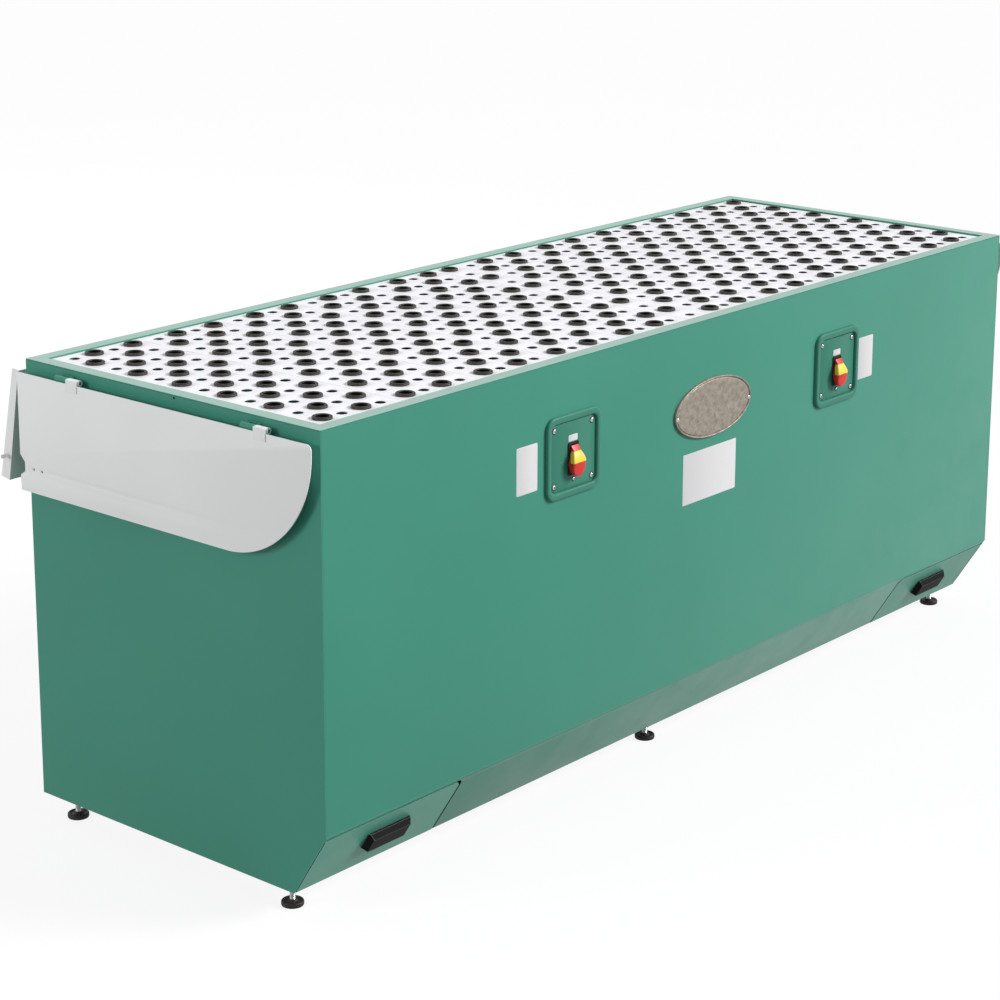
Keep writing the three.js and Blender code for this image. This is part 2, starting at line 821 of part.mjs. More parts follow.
function addInside() {
  for (const { side, sign } of sides) {
    addPiece(`${side}_chute`, onSide(chuteGeometry(), sign), galvanised);
    const filter = onSide(filterGeometry(), sign);
    addPiece(`${side}_filter`, filter, filterPaper, [sign * filterOffset, filterSetback, panTop + pieceGap]);
    const blower = new THREE.Group();
    blower.position.set(sign * blowerOffset, blowerSetback, blowerHeight);
    table.add(blower);
    addPiece(`${side}_blower_housing`, onSide(blowerHousingGeometry(), sign), galvanised, [0, 0, 0], blower);
    const impellerPlace = [sign * impellerInset, 0, 0];
    addPiece(`${side}_impeller`, onSide(impellerGeometry(), sign), zinc, impellerPlace, blower);
    const motorPlace = [-sign * (motorLength + pieceGap), 0, 0];
    addPiece(`${side}_motor`, onSide(motorGeometry(), sign), motorGrey, motorPlace, blower);
  }
}

// Switch plate: fills the recess of its surround, behind the bezel
function switchPlateGeometry() {
  const width = recessWidth - 2 * plateInset;
  const height = recessHeight - 2 * plateInset;
  const shape = roundedRectangle(width, height, recessRadius - plateInset);
  shape.holes.push(new THREE.Path([
    [-1, -1],
    [1, -1],
    [1, 1],
    [-1, 1],
  ].map(([u, v]) => new THREE.Vector2(
    u * (housingWidth / 2 + pieceGap),
    v * (housingHeight / 2 + pieceGap) - switchDrop,
  ))));
  return alongY(shape, -plateThickness - pieceGap, -pieceGap);
}

// Switch body, with y = 0 on the face of its plate: a bezel, the housing behind it and the paddle's pocket
function switchBodyGeometry() {
  const bezel = alongY(roundedRectangle(bezelWidth, bezelHeight, bezelThickness), -bezelThickness - pieceGap,
    -pieceGap, 2);
  const housing = block(
    [-housingWidth / 2, -pieceGap - weldOverlap, -housingHeight / 2],
    [housingWidth / 2, housingDepth, housingHeight / 2],
  );
  const pocketWidth = paddleRootWidth / 2 + pieceGap;
  const pocketHeight = paddleRootHeight / 2 + paddleRootClearance;
  const pocket = block(
    [-pocketWidth, -bezelThickness - cutOverrun, -pocketHeight],
    [pocketWidth, paddleRootDepth + paddleRootClearance, pocketHeight],
  );
  return cut(join([bezel, housing]), [pocket]);
}

// The front view of the paddle: a narrow tab, wider beside the key, then a round tongue
function paddleFace() {
  const radius = paddleWidth / 2;
  const low = -paddleFall + radius;
  const shape = new THREE.Shape();
  shape.moveTo(paddleTopWidth / 2, paddleRise);
  shape.lineTo(-paddleTopWidth / 2, paddleRise);
  shape.lineTo(-paddleTopWidth / 2, keyRise + keyHeight / 2);
  shape.lineTo(-radius, keyRise - keyHeight / 2);
  shape.absarc(0, low, radius, Math.PI, 2 * Math.PI);
  shape.lineTo(radius, keyRise - keyHeight / 2);
  shape.lineTo(paddleTopWidth / 2, keyRise + keyHeight / 2);
  return shape;
}

// The paddle's side view in (y, z): out from its top to the key, then down to the tongue's hollow back
function paddleSide() {
  const back = -bezelThickness - 2 * pieceGap;
  const tuck = paddleFall * Math.tan(THREE.MathUtils.degToRad(paddleThrow));
  return outline([
    [back, paddleRise],
    [-paddleShoulder, keyRise + keyHeight / 2],
    [-paddleReach, keyRise - keyHeight / 2],
    [-paddleTipReach, -paddleFall],
    [back - tuck, -paddleFall],
    [back, 0],
  ]);
}

function paddleBlank() {
  return common(
    alongY(paddleFace(), -paddleReach, cutOverrun, 5),
    alongX(paddleSide(), -paddleWidth, paddleWidth),
  );
}

// The space of the key in the paddle, grown by a clearance: its wedge and its stem
function keySpace(clearance) {
  const root = -paddleReach + keyDepth;
  return join([
    block(
      [-paddleWidth, -2 * paddleReach, -keyHeight / 2 - clearance],
      [paddleWidth, root + clearance, keyHeight / 2 + clearance],
    ),
    block(
      [-keyStemWidth / 2 - clearance, root - weldOverlap, -keyStemHeight / 2 - clearance],
      [keyStemWidth / 2 + clearance, root + keyStemDepth + clearance, keyStemHeight / 2 + clearance],
    ),
  ]).translate(0, 0, keyRise);
}

// Paddle: pivots in the body's pocket, with a seat cut for the key
function paddleGeometry() {
  const root = block(
    [-paddleRootWidth / 2, -paddleShoulder / 2, -paddleRootHeight / 2],
    [paddleRootWidth / 2, paddleRootDepth, paddleRootHeight / 2],
  );
  return cut(join([paddleBlank(), root]), [keySpace(pieceGap)]);
}

function addSwitches() {
  for (const { side, sign } of sides) {
    const group = new THREE.Group();
    group.position.set(sign * switchOffset, 0, tableHeight - surroundDrop);
    table.add(group);
    addPiece(`${side}_switch_plate`, switchPlateGeometry(), green, [0, 0, 0], group);
    const place = [0, -plateThickness - pieceGap, -switchDrop];
    addPiece(`${side}_switch_body`, switchBodyGeometry(), plasticBlack, place, group);
    addPiece(`${side}_switch_paddle`, paddleGeometry(), switchRed, place, group);
    addPiece(`${side}_switch_key`, common(paddleBlank(), keySpace(0)), keyYellow, place, group);
  }
}

// Badge: a bare oval casting with a raised border and two rivets
function badgeGeometry() {
  const oval = (inset) => new THREE.Shape().absellipse(
    0, 0, badgeWidth / 2 - inset, badgeHeight / 2 - inset, 0, 2 * Math.PI);
  const plate = alongY(oval(0), -badgeThickness - pieceGap, -pieceGap, 10);
  const face = -badgeThickness - pieceGap;
  const sink = alongY(oval(badgeBorder), face - cutOverrun, face + badgeSink, 10);
  const rivets = [-rivetSpread / 2, rivetSpread / 2].map((x) =>
    barAlong(axisY, rivetRadius, -badgeThickness - rivetHeight, -badgeThickness / 2, 8).translate(x, 0, 0));
  return join([cut(plate, [sink]), ...rivets]);
}

// The front of a right-hand drawer, drawn in (x, up the band, outward)
function drawerFrontGeometry() {
  const top = bandLength - drawerTopMargin;
  const shape = outline([
    [drawerInnerEdge, 0],
    [drawerInnerEdge, top - drawerCorner],
    [drawerInnerEdge + drawerCorner, top],
    [skinEnd - drawerSeam + pieceGap, top],
    [skinEnd - drawerSeam + pieceGap, 0],
  ]);
  return extrude(shape, sheetThickness).translate(0, 0, -sheetThickness);
}

// How far up the band the middle of the pull stands
function pullRise() {
  return bandLength - pullDrop - pullHeight / 2;
}

// Puts a piece drawn about the pull's middle onto the right-hand drawer's front
function pullOnDrawer(geometry) {
  return onBand(geometry.translate(halfLength - pullInset, pullRise(), 0));
}

// Drawer: a tray whose sloping front closes the band, with a window behind the pull for the fingertips
function drawerGeometry() {
  const floor = panTop + 2 * pieceGap;
  const top = floorGap + (bandLength - drawerTopMargin) * Math.cos(bandAngle) - trayDrop;
  const back = tableDepth - drawerRearGap;
  const trayOutline = (wall) => {
    const low = floor + wall;
    const high = top + 2 * wall;
    return outline([
      [bandFace(low, wall), low],
      [back - wall, low],
      [back - wall, high],
      [bandFace(high, wall), high],
    ]);
  };
  const left = drawerInnerEdge + drawerSideGap;
  const right = skinEnd - sheetThickness - drawerSideGap;
  const tray = alongX(trayOutline(0), left, right);
  const hollow = alongX(trayOutline(sheetThickness), left + sheetThickness, right - sheetThickness);
  const window = pullOnDrawer(block(
    [-pullPocketWidth() / 2 - pieceGap, -pullPocketHeight() / 2 - pieceGap, -sheetThickness - cutOverrun],
    [pullPocketWidth() / 2 + pieceGap, pullPocketHeight() / 2 + pieceGap, cutOverrun],
  ));
  return cut(join([cut(tray, [hollow]), onBand(drawerFrontGeometry())]), [window]);
}

// The pocket behind the pull, which passes through the window in the drawer's front
function pullPocketWidth() {
  return pullWidth - 2 * pullWindow;
}

function pullPocketHeight() {
  return pullHeight - 2 * pullWindow;
}

// The hood of a pull in (x, up the band, outward), with a sloping top and sloping ends, a wall further in
function pullHood(wall) {
  const half = pullWidth / 2 - wall;
  const reach = pullReach - wall;
  const section = outline([
    [-pullHeight / 2 - 2 * wall, 0],
    [pullHeight / 2 - wall, 0],
    [pullHeight / 2 - wall - pullSlope, reach],
    [pullLift - pullHeight / 2 - 2 * wall, reach],
  ]);
  const ends = outline([
    [-half, 0],
    [half, 0],
    [half - pullSlope, reach],
    [pullSlope - half, reach],
  ]);
  const between = extrude(ends, 2 * pullHeight).translate(0, 0, -pullHeight).rotateX(Math.PI / 2);
  return common(alongBand(section, -half, half), between);
}

// Cup pull: a hood that is open below for the fingers, with a shallow pocket behind it
function pullGeometry() {
  const outside = pullHood(0).translate(0, 0, pieceGap);
  const inside = pullHood(pullWall).translate(0, 0, pieceGap + pullWall / 2);
  const pocket = block(
    [-pullPocketWidth() / 2, -pullPocketHeight() / 2, -pocketDepth],
    [pullPocketWidth() / 2, pullPocketHeight() / 2, pullWall / 2],
  );
  const pocketHollow = block(
    [pullWall - pullPocketWidth() / 2, pullWall - pullPocketHeight() / 2, pullWall - pocketDepth],
    [pullPocketWidth() / 2 - pullWall, pullPocketHeight() / 2 - pullWall, pullWall],
  );
  return cut(join([outside, pocket]), [inside, pocketHollow]);
}

function addDrawers() {
  for (const { side, sign } of sides) {
    addPiece(`${side}_dust_drawer`, onSide(drawerGeometry(), sign), green);
    addPiece(`${side}_drawer_pull`, onSide(pullOnDrawer(pullGeometry()), sign), plasticBlack);
  }
}

// The moving half of a hinge, in (outward, up) about its pin: a barrel and the leaf that laps the plate
function movingKnuckle(start) {
  const outside = plateOffset + wingThickness + leafThickness;
  const end = start + knuckleLength;
  const leaf = alongX(bentSheet([
    [outside, -wingEdgeDrop - leafDrop],
    [outside, knuckleRadius],
    [0, knuckleRadius],
  ], leafThickness + weldOverlap, leafThickness + 2 * weldOverlap), start, end);
  const barrel = barAlong(axisX, knuckleRadius, start, end, knuckleSides);
  const bore = barAlong(axisX, pinRadius + pinClearance, start - cutOverrun, end + cutOverrun, knuckleSides);
  return cut(join([leaf, barrel]), [bore]);
}

// The fixed half: a barrel on a web and a leaf welded to the cabinet, with the pin pressed into it
function fixedKnuckle() {
  const wall = pieceGap - hingeReach;
  const end = 2 * knuckleLength;
  return join([
    barAlong(axisX, knuckleRadius, knuckleLength + pieceGap, end, knuckleSides),
    block([knuckleLength + pieceGap, wall, -webThickness / 2], [end, 0, webThickness / 2]),
    block([knuckleLength + pieceGap, wall, -fixedLeafDrop], [end, wall + leafThickness, knuckleRadius]),
    barAlong(axisX, pinRadius, 0, end, knuckleSides),
  ]);
}

// Turns a piece drawn in (along, outward, up) so that it stands on the left-hand end, from the front back
function turnedToEnd(geometry) {
  return geometry.rotateZ(Math.PI / 2);
}

// The wing's outline in (y, z) below its hinge: a round front corner and the notch for the shield's stud
function wingOutline() {
  const top = -wingEdgeDrop;
  const low = top - wingHeight;
  const notchTop = -notchDrop + notchFlat / 2;
  const shape = new THREE.Shape();
  shape.moveTo(wingRear, top);
  shape.lineTo(wingFrontInset + wingCorner, top);
  shape.absarc(wingFrontInset + wingCorner, top - wingCorner, wingCorner, Math.PI / 2, Math.PI);
  shape.absarc(wingFrontInset + wingRadius, low + wingRadius, wingRadius, Math.PI, 1.5 * Math.PI);
  shape.lineTo(wingRear, low);
  shape.lineTo(wingRear, notchTop - notchFlat - notchLowRamp);
  shape.lineTo(wingRear - notchDepth, notchTop - notchFlat);
  shape.lineTo(wingRear - notchDepth, notchTop);
  shape.lineTo(wingRear, notchTop + notchTopRamp);
  return shape;
}

// Left wing, about its hinge line: the plate hangs outside the pins, with both moving knuckles welded on
function leftWingGeometry() {
  const plate = alongX(wingOutline(), -plateOffset - wingThickness, -plateOffset, 5);
  const knuckles = [0, hingeSpacing].map((step) =>
    turnedToEnd(movingKnuckle(frontHingeSetback + step - knuckleLength)));
  const holes = [0, wingHoleSpacing].map((step) =>
    barAlong(axisX, wingHoleRadius, -hingeReach - cutOverrun, 0, 6)
      .translate(0, wingRear - wingHoleSetback - step, -wingHoleDrop));
  return cut(join([plate, ...knuckles]), holes);
}

function addWings() {
  for (const { side, sign } of sides) {
    const place = [sign * (halfLength + hingeReach), 0, hingeHeight];
    addPiece(`${side}_wing`, onSide(leftWingGeometry(), -sign), paleGrey, place);
    [frontHingeSetback, frontHingeSetback + hingeSpacing].forEach((setback, index) => {
      const knuckle = turnedToEnd(fixedKnuckle()).translate(0, setback - knuckleLength, 0);
      const name = `${side}_${index ? "rear" : "front"}_hinge_pin`;
      addPiece(name, onSide(knuckle, -sign), green, place);
    });
  }
}

// Half the length of the shield over its end flanges, which fit between the raised wings
function shieldHalfLength() {
  return halfLength + hingeReach - plateOffset - wingThickness - shieldWingGap;
}

// Rear shield, about its hinge line: a plate, two end flanges turned out and a deep return on its free edge
function rearShieldGeometry() {
  const half = shieldHalfLength();
  const low = -shieldTopDrop - shieldHeight;
  const plate = block([-half, plateOffset, low], [half, plateOffset + shieldThickness, -shieldTopDrop]);
  const edge = -low - shieldThickness;
  const reach = (edge * Math.sin(shieldLean) + hingeReach - pieceGap) / Math.cos(shieldLean);
  const ledge = block(
    [ledgeEndInset - half, -reach, low],
    [half - ledgeEndInset, plateOffset + shieldThickness, low + shieldThickness],
  );
  const flange = alongX(outline([
    [plateOffset, -shieldTopDrop],
    [plateOffset + endFlangeTop, -shieldTopDrop],
    [plateOffset + endFlangeDepth, low],
    [plateOffset, low],
  ]), half - shieldThickness, half);
  const studHole = barAlong(axisX, studRadius + pieceGap, half - 2 * cutOverrun, half + cutOverrun, studSides)
    .translate(0, studSetback, -notchDrop);
  const knuckles = [-shieldHingeOffset, shieldHingeOffset].map((x) => movingKnuckle(x));
  const body = join([plate, ledge, flange, mirrored(flange), ...knuckles]);
  return cut(body, [studHole, mirrored(studHole)]);
}

// Stud on the shield's right-hand flange: its head outside, a slot for the wing and a nut inside
function studGeometry() {
  const outer = shieldHalfLength();
  const inner = outer - shieldThickness - pieceGap;
  return join([
    barAlong(axisX, studRadius, inner - studNut, outer + studSlot + studHead / 2, studSides),
    barAlong(axisX, studHeadRadius, outer + studSlot, outer + studSlot + studHead, studSides),
    barAlong(axisX, studHeadRadius, inner - studNut, inner, nutSides),
  ]);
}

function addShield() {
  const place = [0, tableDepth + hingeReach, hingeHeight];
  for (const { side, sign } of sides) {
    const knuckle = fixedKnuckle().translate(sign * shieldHingeOffset, 0, 0);
    addPiece(`shield_${side}_hinge_pin`, knuckle, green, place);
  }
  const shield = new THREE.Group();
  shield.position.set(...place);
  shield.rotation.x = shieldLean;
  table.add(shield);
  addPiece("rear_shield", rearShieldGeometry(), paleGrey, [0, 0, 0], shield);
  for (const { side, sign } of sides) {
    const stud = onSide(studGeometry(), sign);
    addPiece(`${side}_latch_stud`, stud, zinc, [0, studSetback, -notchDrop], shield);
  }
}

// Levelling foot: a rubber-shod pad, its threaded stem and the jam nut under the pan
function footGeometry() {
  const stemTop = panTop;
  const profile = [
    [0, 0],
    [padRadius - padRim / 2, 0],
    [padRadius, padRim],
    [padTopRadius, padHeight],
    [collarRadius, padHeight],
    [stemRadius, padHeight + collarHeight],
    [stemRadius, stemTop],
    [0, stemTop],
  ];
  const turned = new THREE.LatheGeometry(profile.map(([r, z]) => new THREE.Vector2(r, z)), footSides)
    .rotateX(Math.PI / 2);
  const nutTop = panTop - sheetThickness - pieceGap;
  const nut = barAlong(axisZ, nutRadius, nutTop - nutHeight, nutTop, nutSides);
  return join([turned, nut]);
}

function addFeet() {
  footPlaces().forEach(([x, y], index) => {
    addPiece(`foot_${index + 1}`, footGeometry(), rubberBlack, [x, y, 0]);
  });
}

// Cable gland in the back: a domed nut outside, the threaded stub in its hole and a bore for the cable
function glandGeometry() {
  const profile = [
    [glandBore, -glandNut],
    [glandStub, -glandNut],
    [glandStub, sheetThickness + pieceGap],
    [glandRadius, sheetThickness + pieceGap],
    [glandRadius, glandLength / 2],
    [glandBore + glandStub / 4, glandLength],
    [glandBore, glandLength],
    [glandBore, -glandNut],
  ];
  return new THREE.LatheGeometry(profile.map(([r, l]) => new THREE.Vector2(r, l)), glandSides);
}

addCabinet();
addTop();
addInside();
addSwitches();
addPiece("badge", badgeGeometry(), castPewter, [0, 0, tableHeight - badgeDrop]);
addDrawers();
addWings();
addShield();
addFeet();
const glandPlace = [halfLength - glandInset, tableDepth - sheetThickness, glandHeight];
addPiece("cable_gland", glandGeometry(), plasticBlack, glandPlace);

// The origin lies on the floor in the middle of the whole table's box
table.updateMatrixWorld(true);
const extent = new THREE.Box3().setFromObject(table);
const middleOfBox = extent.getCenter(new THREE.Vector3());
table.position.set(-middleOfBox.x, -middleOfBox.y, 0);

export default table;
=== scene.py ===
import json
import math

import bmesh
import bpy
from mathutils import Matrix, Vector, noise


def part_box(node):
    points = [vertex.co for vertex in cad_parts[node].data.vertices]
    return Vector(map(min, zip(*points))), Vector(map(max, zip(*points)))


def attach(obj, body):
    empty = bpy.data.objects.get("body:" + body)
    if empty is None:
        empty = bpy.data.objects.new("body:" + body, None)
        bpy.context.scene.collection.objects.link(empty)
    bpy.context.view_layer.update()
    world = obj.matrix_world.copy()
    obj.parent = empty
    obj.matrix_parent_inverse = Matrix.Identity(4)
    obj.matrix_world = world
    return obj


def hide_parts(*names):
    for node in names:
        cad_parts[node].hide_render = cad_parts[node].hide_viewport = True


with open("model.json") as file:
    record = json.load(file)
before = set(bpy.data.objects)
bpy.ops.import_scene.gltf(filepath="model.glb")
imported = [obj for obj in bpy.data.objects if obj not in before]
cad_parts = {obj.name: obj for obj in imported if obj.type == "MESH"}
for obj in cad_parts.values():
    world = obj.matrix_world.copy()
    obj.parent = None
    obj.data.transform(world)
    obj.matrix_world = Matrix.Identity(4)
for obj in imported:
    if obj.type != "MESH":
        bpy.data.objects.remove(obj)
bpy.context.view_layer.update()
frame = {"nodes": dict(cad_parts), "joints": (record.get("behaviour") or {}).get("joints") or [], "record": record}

bpy.context.scene.view_settings.view_transform = "Standard"
MM = 0.001
WELD = 1e-6

# Camera at the photograph's viewing angle, its place given from the cabinet's front face
CAMERA_PLACE = (-3.81917, -2.74641, 1.93411)
CAMERA_AZIMUTH = -49.445
CAMERA_PITCH = 13.756
CAMERA_ROLL = 0.141
CAMERA_LENS = 93.515
CAMERA_SENSOR = 36.0
CAMERA_SHIFT = -0.15

# Studio. The sun: where it stands, strength, spread. A lamp: place, aim, size, power
SUN = ((0.556, -0.663, 0.5), 3.3, 22.0)
LAMPS = {
    "overhead": ((0.2, 0.0, 4.6), (0.2, 0.0, 0.8), (6.0, 4.0), 30.0),
    "left_rear": ((-6.5, 2.4, 2.2), (-0.9, 0.0, 0.6), (2.0, 2.0), 145.0),
    "behind": ((0.5, 6.0, 2.8), (0.0, 0.2, 0.5), (1.8, 3.0), 60.0),
}
AMBIENT = (0.33, 0.335, 0.34)
FLOOR_SIZE = 60.0
FLOOR_TONE = (0.3, 0.3, 0.3)
FLOOR_SEEN = (0.98, 0.98, 0.98)
FLOOR_GLOW = 0.86

# Colours that several finishes share
WHITE = (1.0, 1.0, 1.0)
GREEN = (0.053, 0.27, 0.192)
PALE_GREEN = (0.25, 0.5, 0.42)
DUST = (0.62, 0.6, 0.56)
# The pale tone of a painted sheen on the faces that look up, for their reflection
PAINTED_SHEEN_TONE = (0.62, 0.7, 0.66)

# Profiles are lists of (radius, height), and steps are lists of (inset, rise), all in mm

# Perforated panels and their rubber rings
PANELS = 10
COLUMNS = 4
ROWS = 12
COLUMN_MARGIN = 29.8 * MM
ROW_MARGIN = 28.35 * MM
PANEL_THICKNESS = 3 * MM
PANEL_SHEET = 1.2 * MM
RING_HEIGHT = 5 * MM
RING_SEAT = 13.4 * MM
SMALL_HOLE = 9.8 * MM
HOLE_EDGE = 0.4 * MM
HOLE_BEND = 0.3 * HOLE_EDGE
HOLE_STEPS = 7
RING_STEPS = 28
RING_PROFILE = [
    (12.9, -4.6), (12.9, 2.2), (11.9, 3.4), (12.1, 4.3), (12.8, 4.7), (14.6, 4.7), (16.1, 4.4),
    (16.8, 3.7), (17.0, 2.9), (16.4, 2.5), (16.4, 2.0), (17.0, 1.6), (17.0, 0.1), (13.3, 0.1),
    (13.3, -1.3), (14.2, -1.6), (14.0, -4.6),
]

# Sheet metal
SHEET = 2 * MM
FOLD_RADIUS = 4 * MM
FACE_EDGE = 0.05 * MM
BAND_EDGE = 0.3 * MM
BAND_INSET = 76 * MM
BAND_DROP = 120 * MM
RETURN_FLANGE = 20 * MM
DRAWER_TOP_MARGIN = 12 * MM
DRAWER_SEAM = 4.4 * MM
DRAWER_CORNER = 9 * MM
PULL_SLOPE = 6.5 * MM
PULL_WALL = 2 * MM
PULL_NOSE = 0.3
PULL_EDGE = 0.7 * MM

# Switches
SURROUND = (150 * MM, 151 * MM, 22 * MM)
RECESS = (125 * MM, 123 * MM, 12 * MM)
SURROUND_STEPS = [(0, 0), (0.2, 2.4), (0.8, 4.6), (1.8, 6.0), (3.2, 6.5)]
SURROUND_SINK = 0.8 * MM
PLATE_CORNER = 12 * MM
PLATE_EDGE = 0.5 * MM
PLATE_FACE = 1.8 * MM
PLATE_SCREW = (4.5 * MM, 2.3 * MM)
SCREW_SPREAD = (52.2 * MM, 50.6 * MM)
LOW_SCREW = (3.4 * MM, 2.4 * MM)
LOW_SCREW_SHIFT = 2 * MM
LOW_SCREW_DROP = 46 * MM
SCREW_HEAD = [(0, -0.4), (1, -0.4), (1, 0.5), (0.93, 1.2), (0.74, 1.9), (0.42, 2.25), (0, 2.3)]
SCREW_HEAD_HEIGHT = 2.3
# A dark ring under each screw head and a dark cross on it: painted shade
SHADE_RING_RIM = 1.3 * MM
SHADE_RING_SINK = 0.3 * MM
SHADE_RING_RISE = 0.35 * MM
CROSS_TURN = 0.4
CROSS_REACH = 0.55
CROSS_HALF_WIDTH = 0.5 * MM
CROSS_RISE = 0.06 * MM
CROSS_EDGE = 0.15 * MM
SWITCH_LABEL = (25 * MM, 12 * MM, 2.4 * MM)
LABEL_RISE = 29 * MM
SWITCH_DROP = 8 * MM
BEZEL = (28.5 * MM, 60 * MM)
BEZEL_THICKNESS = 2.5 * MM
BEZEL_CORNER = 3.4
BEZEL_STEPS = [(0, 0.3), (0, 1.9), (0.4, 2.4), (1.2, 2.5), (2.4, 2.5), (2.8, 2.1), (2.9, 1.2)]
HOUSING_INSET = (3.25 * MM, 5 * MM)
HOUSING_SINK = 0.4 * MM
PADDLE_TAB = 10 * MM
PADDLE_LIP = 0.12
PADDLE_SHOULDER = 0.55
PADDLE_TIP = 0.8
PADDLE_BACK = 0.5 * MM
PADDLE_LEVELS = 44
PADDLE_ROUND = 0.34
PADDLE_EDGE = 0.7 * MM
PADDLE_BLOCK = ((-7.5 * MM, -1 * MM, -4 * MM), (7.5 * MM, 3 * MM, 8 * MM))
MOULDED_EDGE = 1.0 * MM
KEY_SEAT = 9 * MM
KEY_SEAT_LEAST = 2 * MM
KEY_SEAT_NARROWING = 0.6 * MM
KEY_SEAT_CLEAR = 0.4 * MM
KEY_GAP = 0.3 * MM
KEY_OVERHANG = (0.15 * MM, 0.05 * MM)
KEY_LEVELS = 8
KEY_ROUND = 0.3
KEY_EDGE = 0.8 * MM

# Stickers: x from, x to, top and bottom below the rim, corner radius, in mm
STICKERS = {
    "left_sticker": (-566, -510, 132, 218, 3),
    "right_sticker": (496, 549, 130, 216, 3),
    "centre_sticker": (-87.5, 79, 248, 346, 0.6),
}
FILM_THICKNESS = 0.2 * MM
FILM_EDGE = 0.04 * MM

# Badge
BADGE_NARROWING = 0.965
BADGE_HEIGHTENING = 1.045
BADGE_STEPS = [
    (0, 0.3), (0, 4.0), (0.3, 4.8), (0.9, 5.2), (1.8, 5.2), (2.6, 4.6), (2.9, 3.4), (3.3, 2.4),
    (4.4, 2.4), (4.9, 3.4), (5.6, 3.9), (7.0, 3.9),
]
BADGE_POINTS = 144
BADGE_RINGS = 34
BADGE_FIELD_INSET = 7.4 * MM
BADGE_FIELD_RISE = 3.8 * MM
BADGE_FIELD_SPAN = 0.985
BADGE_FADE = 12
BADGE_RELIEF = 1.1 * MM
RIVET_SPREAD = 112.4 * MM
RIVET_RISE = 3.6 * MM
RIVET_DROP = 4 * MM
RIVET_PROFILE = [(4.2, 0), (4.2, 0.6), (3.6, 1.6), (2.3, 2.3), (0, 2.6)]

# Hinges
KNUCKLE = 5.5 * MM
KNUCKLE_EDGE = 0.4 * MM
PIN = 3 * MM
PIN_EDGE = 0.5 * MM
PIN_PRESS = 0.2 * MM
KNUCKLE_LENGTH = 35 * MM
STRAP_LENGTH = 27 * MM
STRAP_BEND = 3 * MM
HINGE_LENGTH = 62 * MM
PIECE_GAP = 0.3 * MM
LEAF = 2 * MM
LEAF_EDGE = 0.5 * MM
LEAF_DROP = 12.8 * MM
FIXED_LEAF_DROP = 24 * MM
WEB = 3 * MM
WEB_EDGE = 0.3 * MM
HINGE_REACH = 11.2 * MM

# Wings, their place given from the hinge line, and the stud that catches them
PLATE_OFFSET = 5.8 * MM
WING_EDGE = 0.35 * MM
WING_EDGE_DROP = 3.5 * MM
WING_FRONT_GAP = 2 * MM
WING_HEIGHT = 212.5 * MM
WING_RADIUS = 198 * MM
WING_CORNER = 10 * MM
NOTCH_DROP = 172 * MM
NOTCH_DEPTH = 12 * MM
NOTCH_FLAT = 17 * MM
NOTCH_TOP_RAMP = 12.5 * MM
NOTCH_LOW_RAMP = 7.5 * MM
WING_HOLE = 2.2 * MM
WING_HOLE_SETBACK = 36 * MM
WING_HOLE_SPACING = 21.5 * MM
WING_HOLE_DROP = 173 * MM
STUD_HEAD = [(0, 0), (4.2, 0), (4.2, 1.2), (5.6, 1.2), (5.6, 3.0)]
STUD_RADIUS = 4 * MM
STUD_THREAD = (0.6 * MM, 1.6 * MM)
STUD_THREAD_START = 3 * MM
STUD_LENGTH = 22 * MM

# Levelling feet and gland; a thread is its depth and its pitch
FEET = 6
PAD_PROFILE = [
    (0, 0), (17.6, 0), (18.9, 0.6), (19.5, 2.0), (19.5, 6.2), (19.1, 7.6), (18.2, 8.6), (16.8, 9.0),
    (15.9, 8.6), (15.3, 7.4), (14.0, 7.0), (9.4, 7.0), (8.6, 7.6), (8.2, 9.6), (7.4, 10.6),
    (5.2, 11.0), (0, 11.0),
]
STEM = 5 * MM
STEM_LOW = 9 * MM
STEM_THREAD = (0.55 * MM, 1.5 * MM)
STEM_THREAD_START = 10 * MM
NUT_RADIUS = 9.5 * MM
NUT_HEIGHT = 8 * MM
NUT_CHAMFER = 1 * MM
NUT_CHAMFER_SHARE = 0.93
GLAND_PROFILE = [
    (5, -7), (9.4, -7), (9.4, 0.4), (12, 0.4), (12, 4.6), (11.2, 5.2), (10.8, 5.4), (10.8, 8),
    (10.2, 14), (9.0, 18.4), (7.4, 21.2), (5.6, 22.2), (5, 21.6),
]
GLAND_NUT_RADIUS = 12 * MM
GLAND_NUT_SPAN = (0.4 * MM, 5 * MM)

# Soft edges of the CAD nodes that keep their shape
SOFT_EDGES = {
    0.5 * MM: [
        "top_frame", "left_end_panel", "right_end_panel",
        "left_motor", "right_motor", "left_filter", "right_filter",
    ],
    0.4 * MM: ["rear_panel", "left_dust_drawer", "right_dust_drawer", "rear_shield"],
}

# Blender's numbers for the sockets of a colour mix
MIX_FACTOR, MIX_FIRST, MIX_SECOND, MIX_RESULT = 0, 6, 7, 2


# Materials, each kept under its name

finishes = {}


def feed(tree, target, inputs):
    """Sets the inputs of a node to values, or links them to sockets."""
    for name, value in (inputs or {}).items():
        if isinstance(value, bpy.types.NodeSocket):
            tree.links.new(value, target.inputs[name])
        else:
            target.inputs[name].default_value = value


def node(tree, kind, inputs=None, **settings):
    made = tree.nodes.new(kind)
    for name, value in settings.items():
        setattr(made, name, value)
    feed(tree, made, inputs)
    return made


def new_material(name, constants=None):
    """Makes a material with its shader's constants, and gives its tree."""
    material = finishes[name] = bpy.data.materials.new(name)
    material.use_nodes = True
    tree = material.node_tree
    feed(tree, tree.nodes["Principled BSDF"], constants)
    return tree


def object_place(tree):
    return node(tree, "ShaderNodeTexCoord").outputs["Object"]


def noise_value(tree, scale, detail=2.0, rough=0.5):
    inputs = {"Vector": object_place(tree), "Scale": scale, "Detail": detail, "Roughness": rough}
    return node(tree, "ShaderNodeTexNoise", inputs).outputs["Fac"]


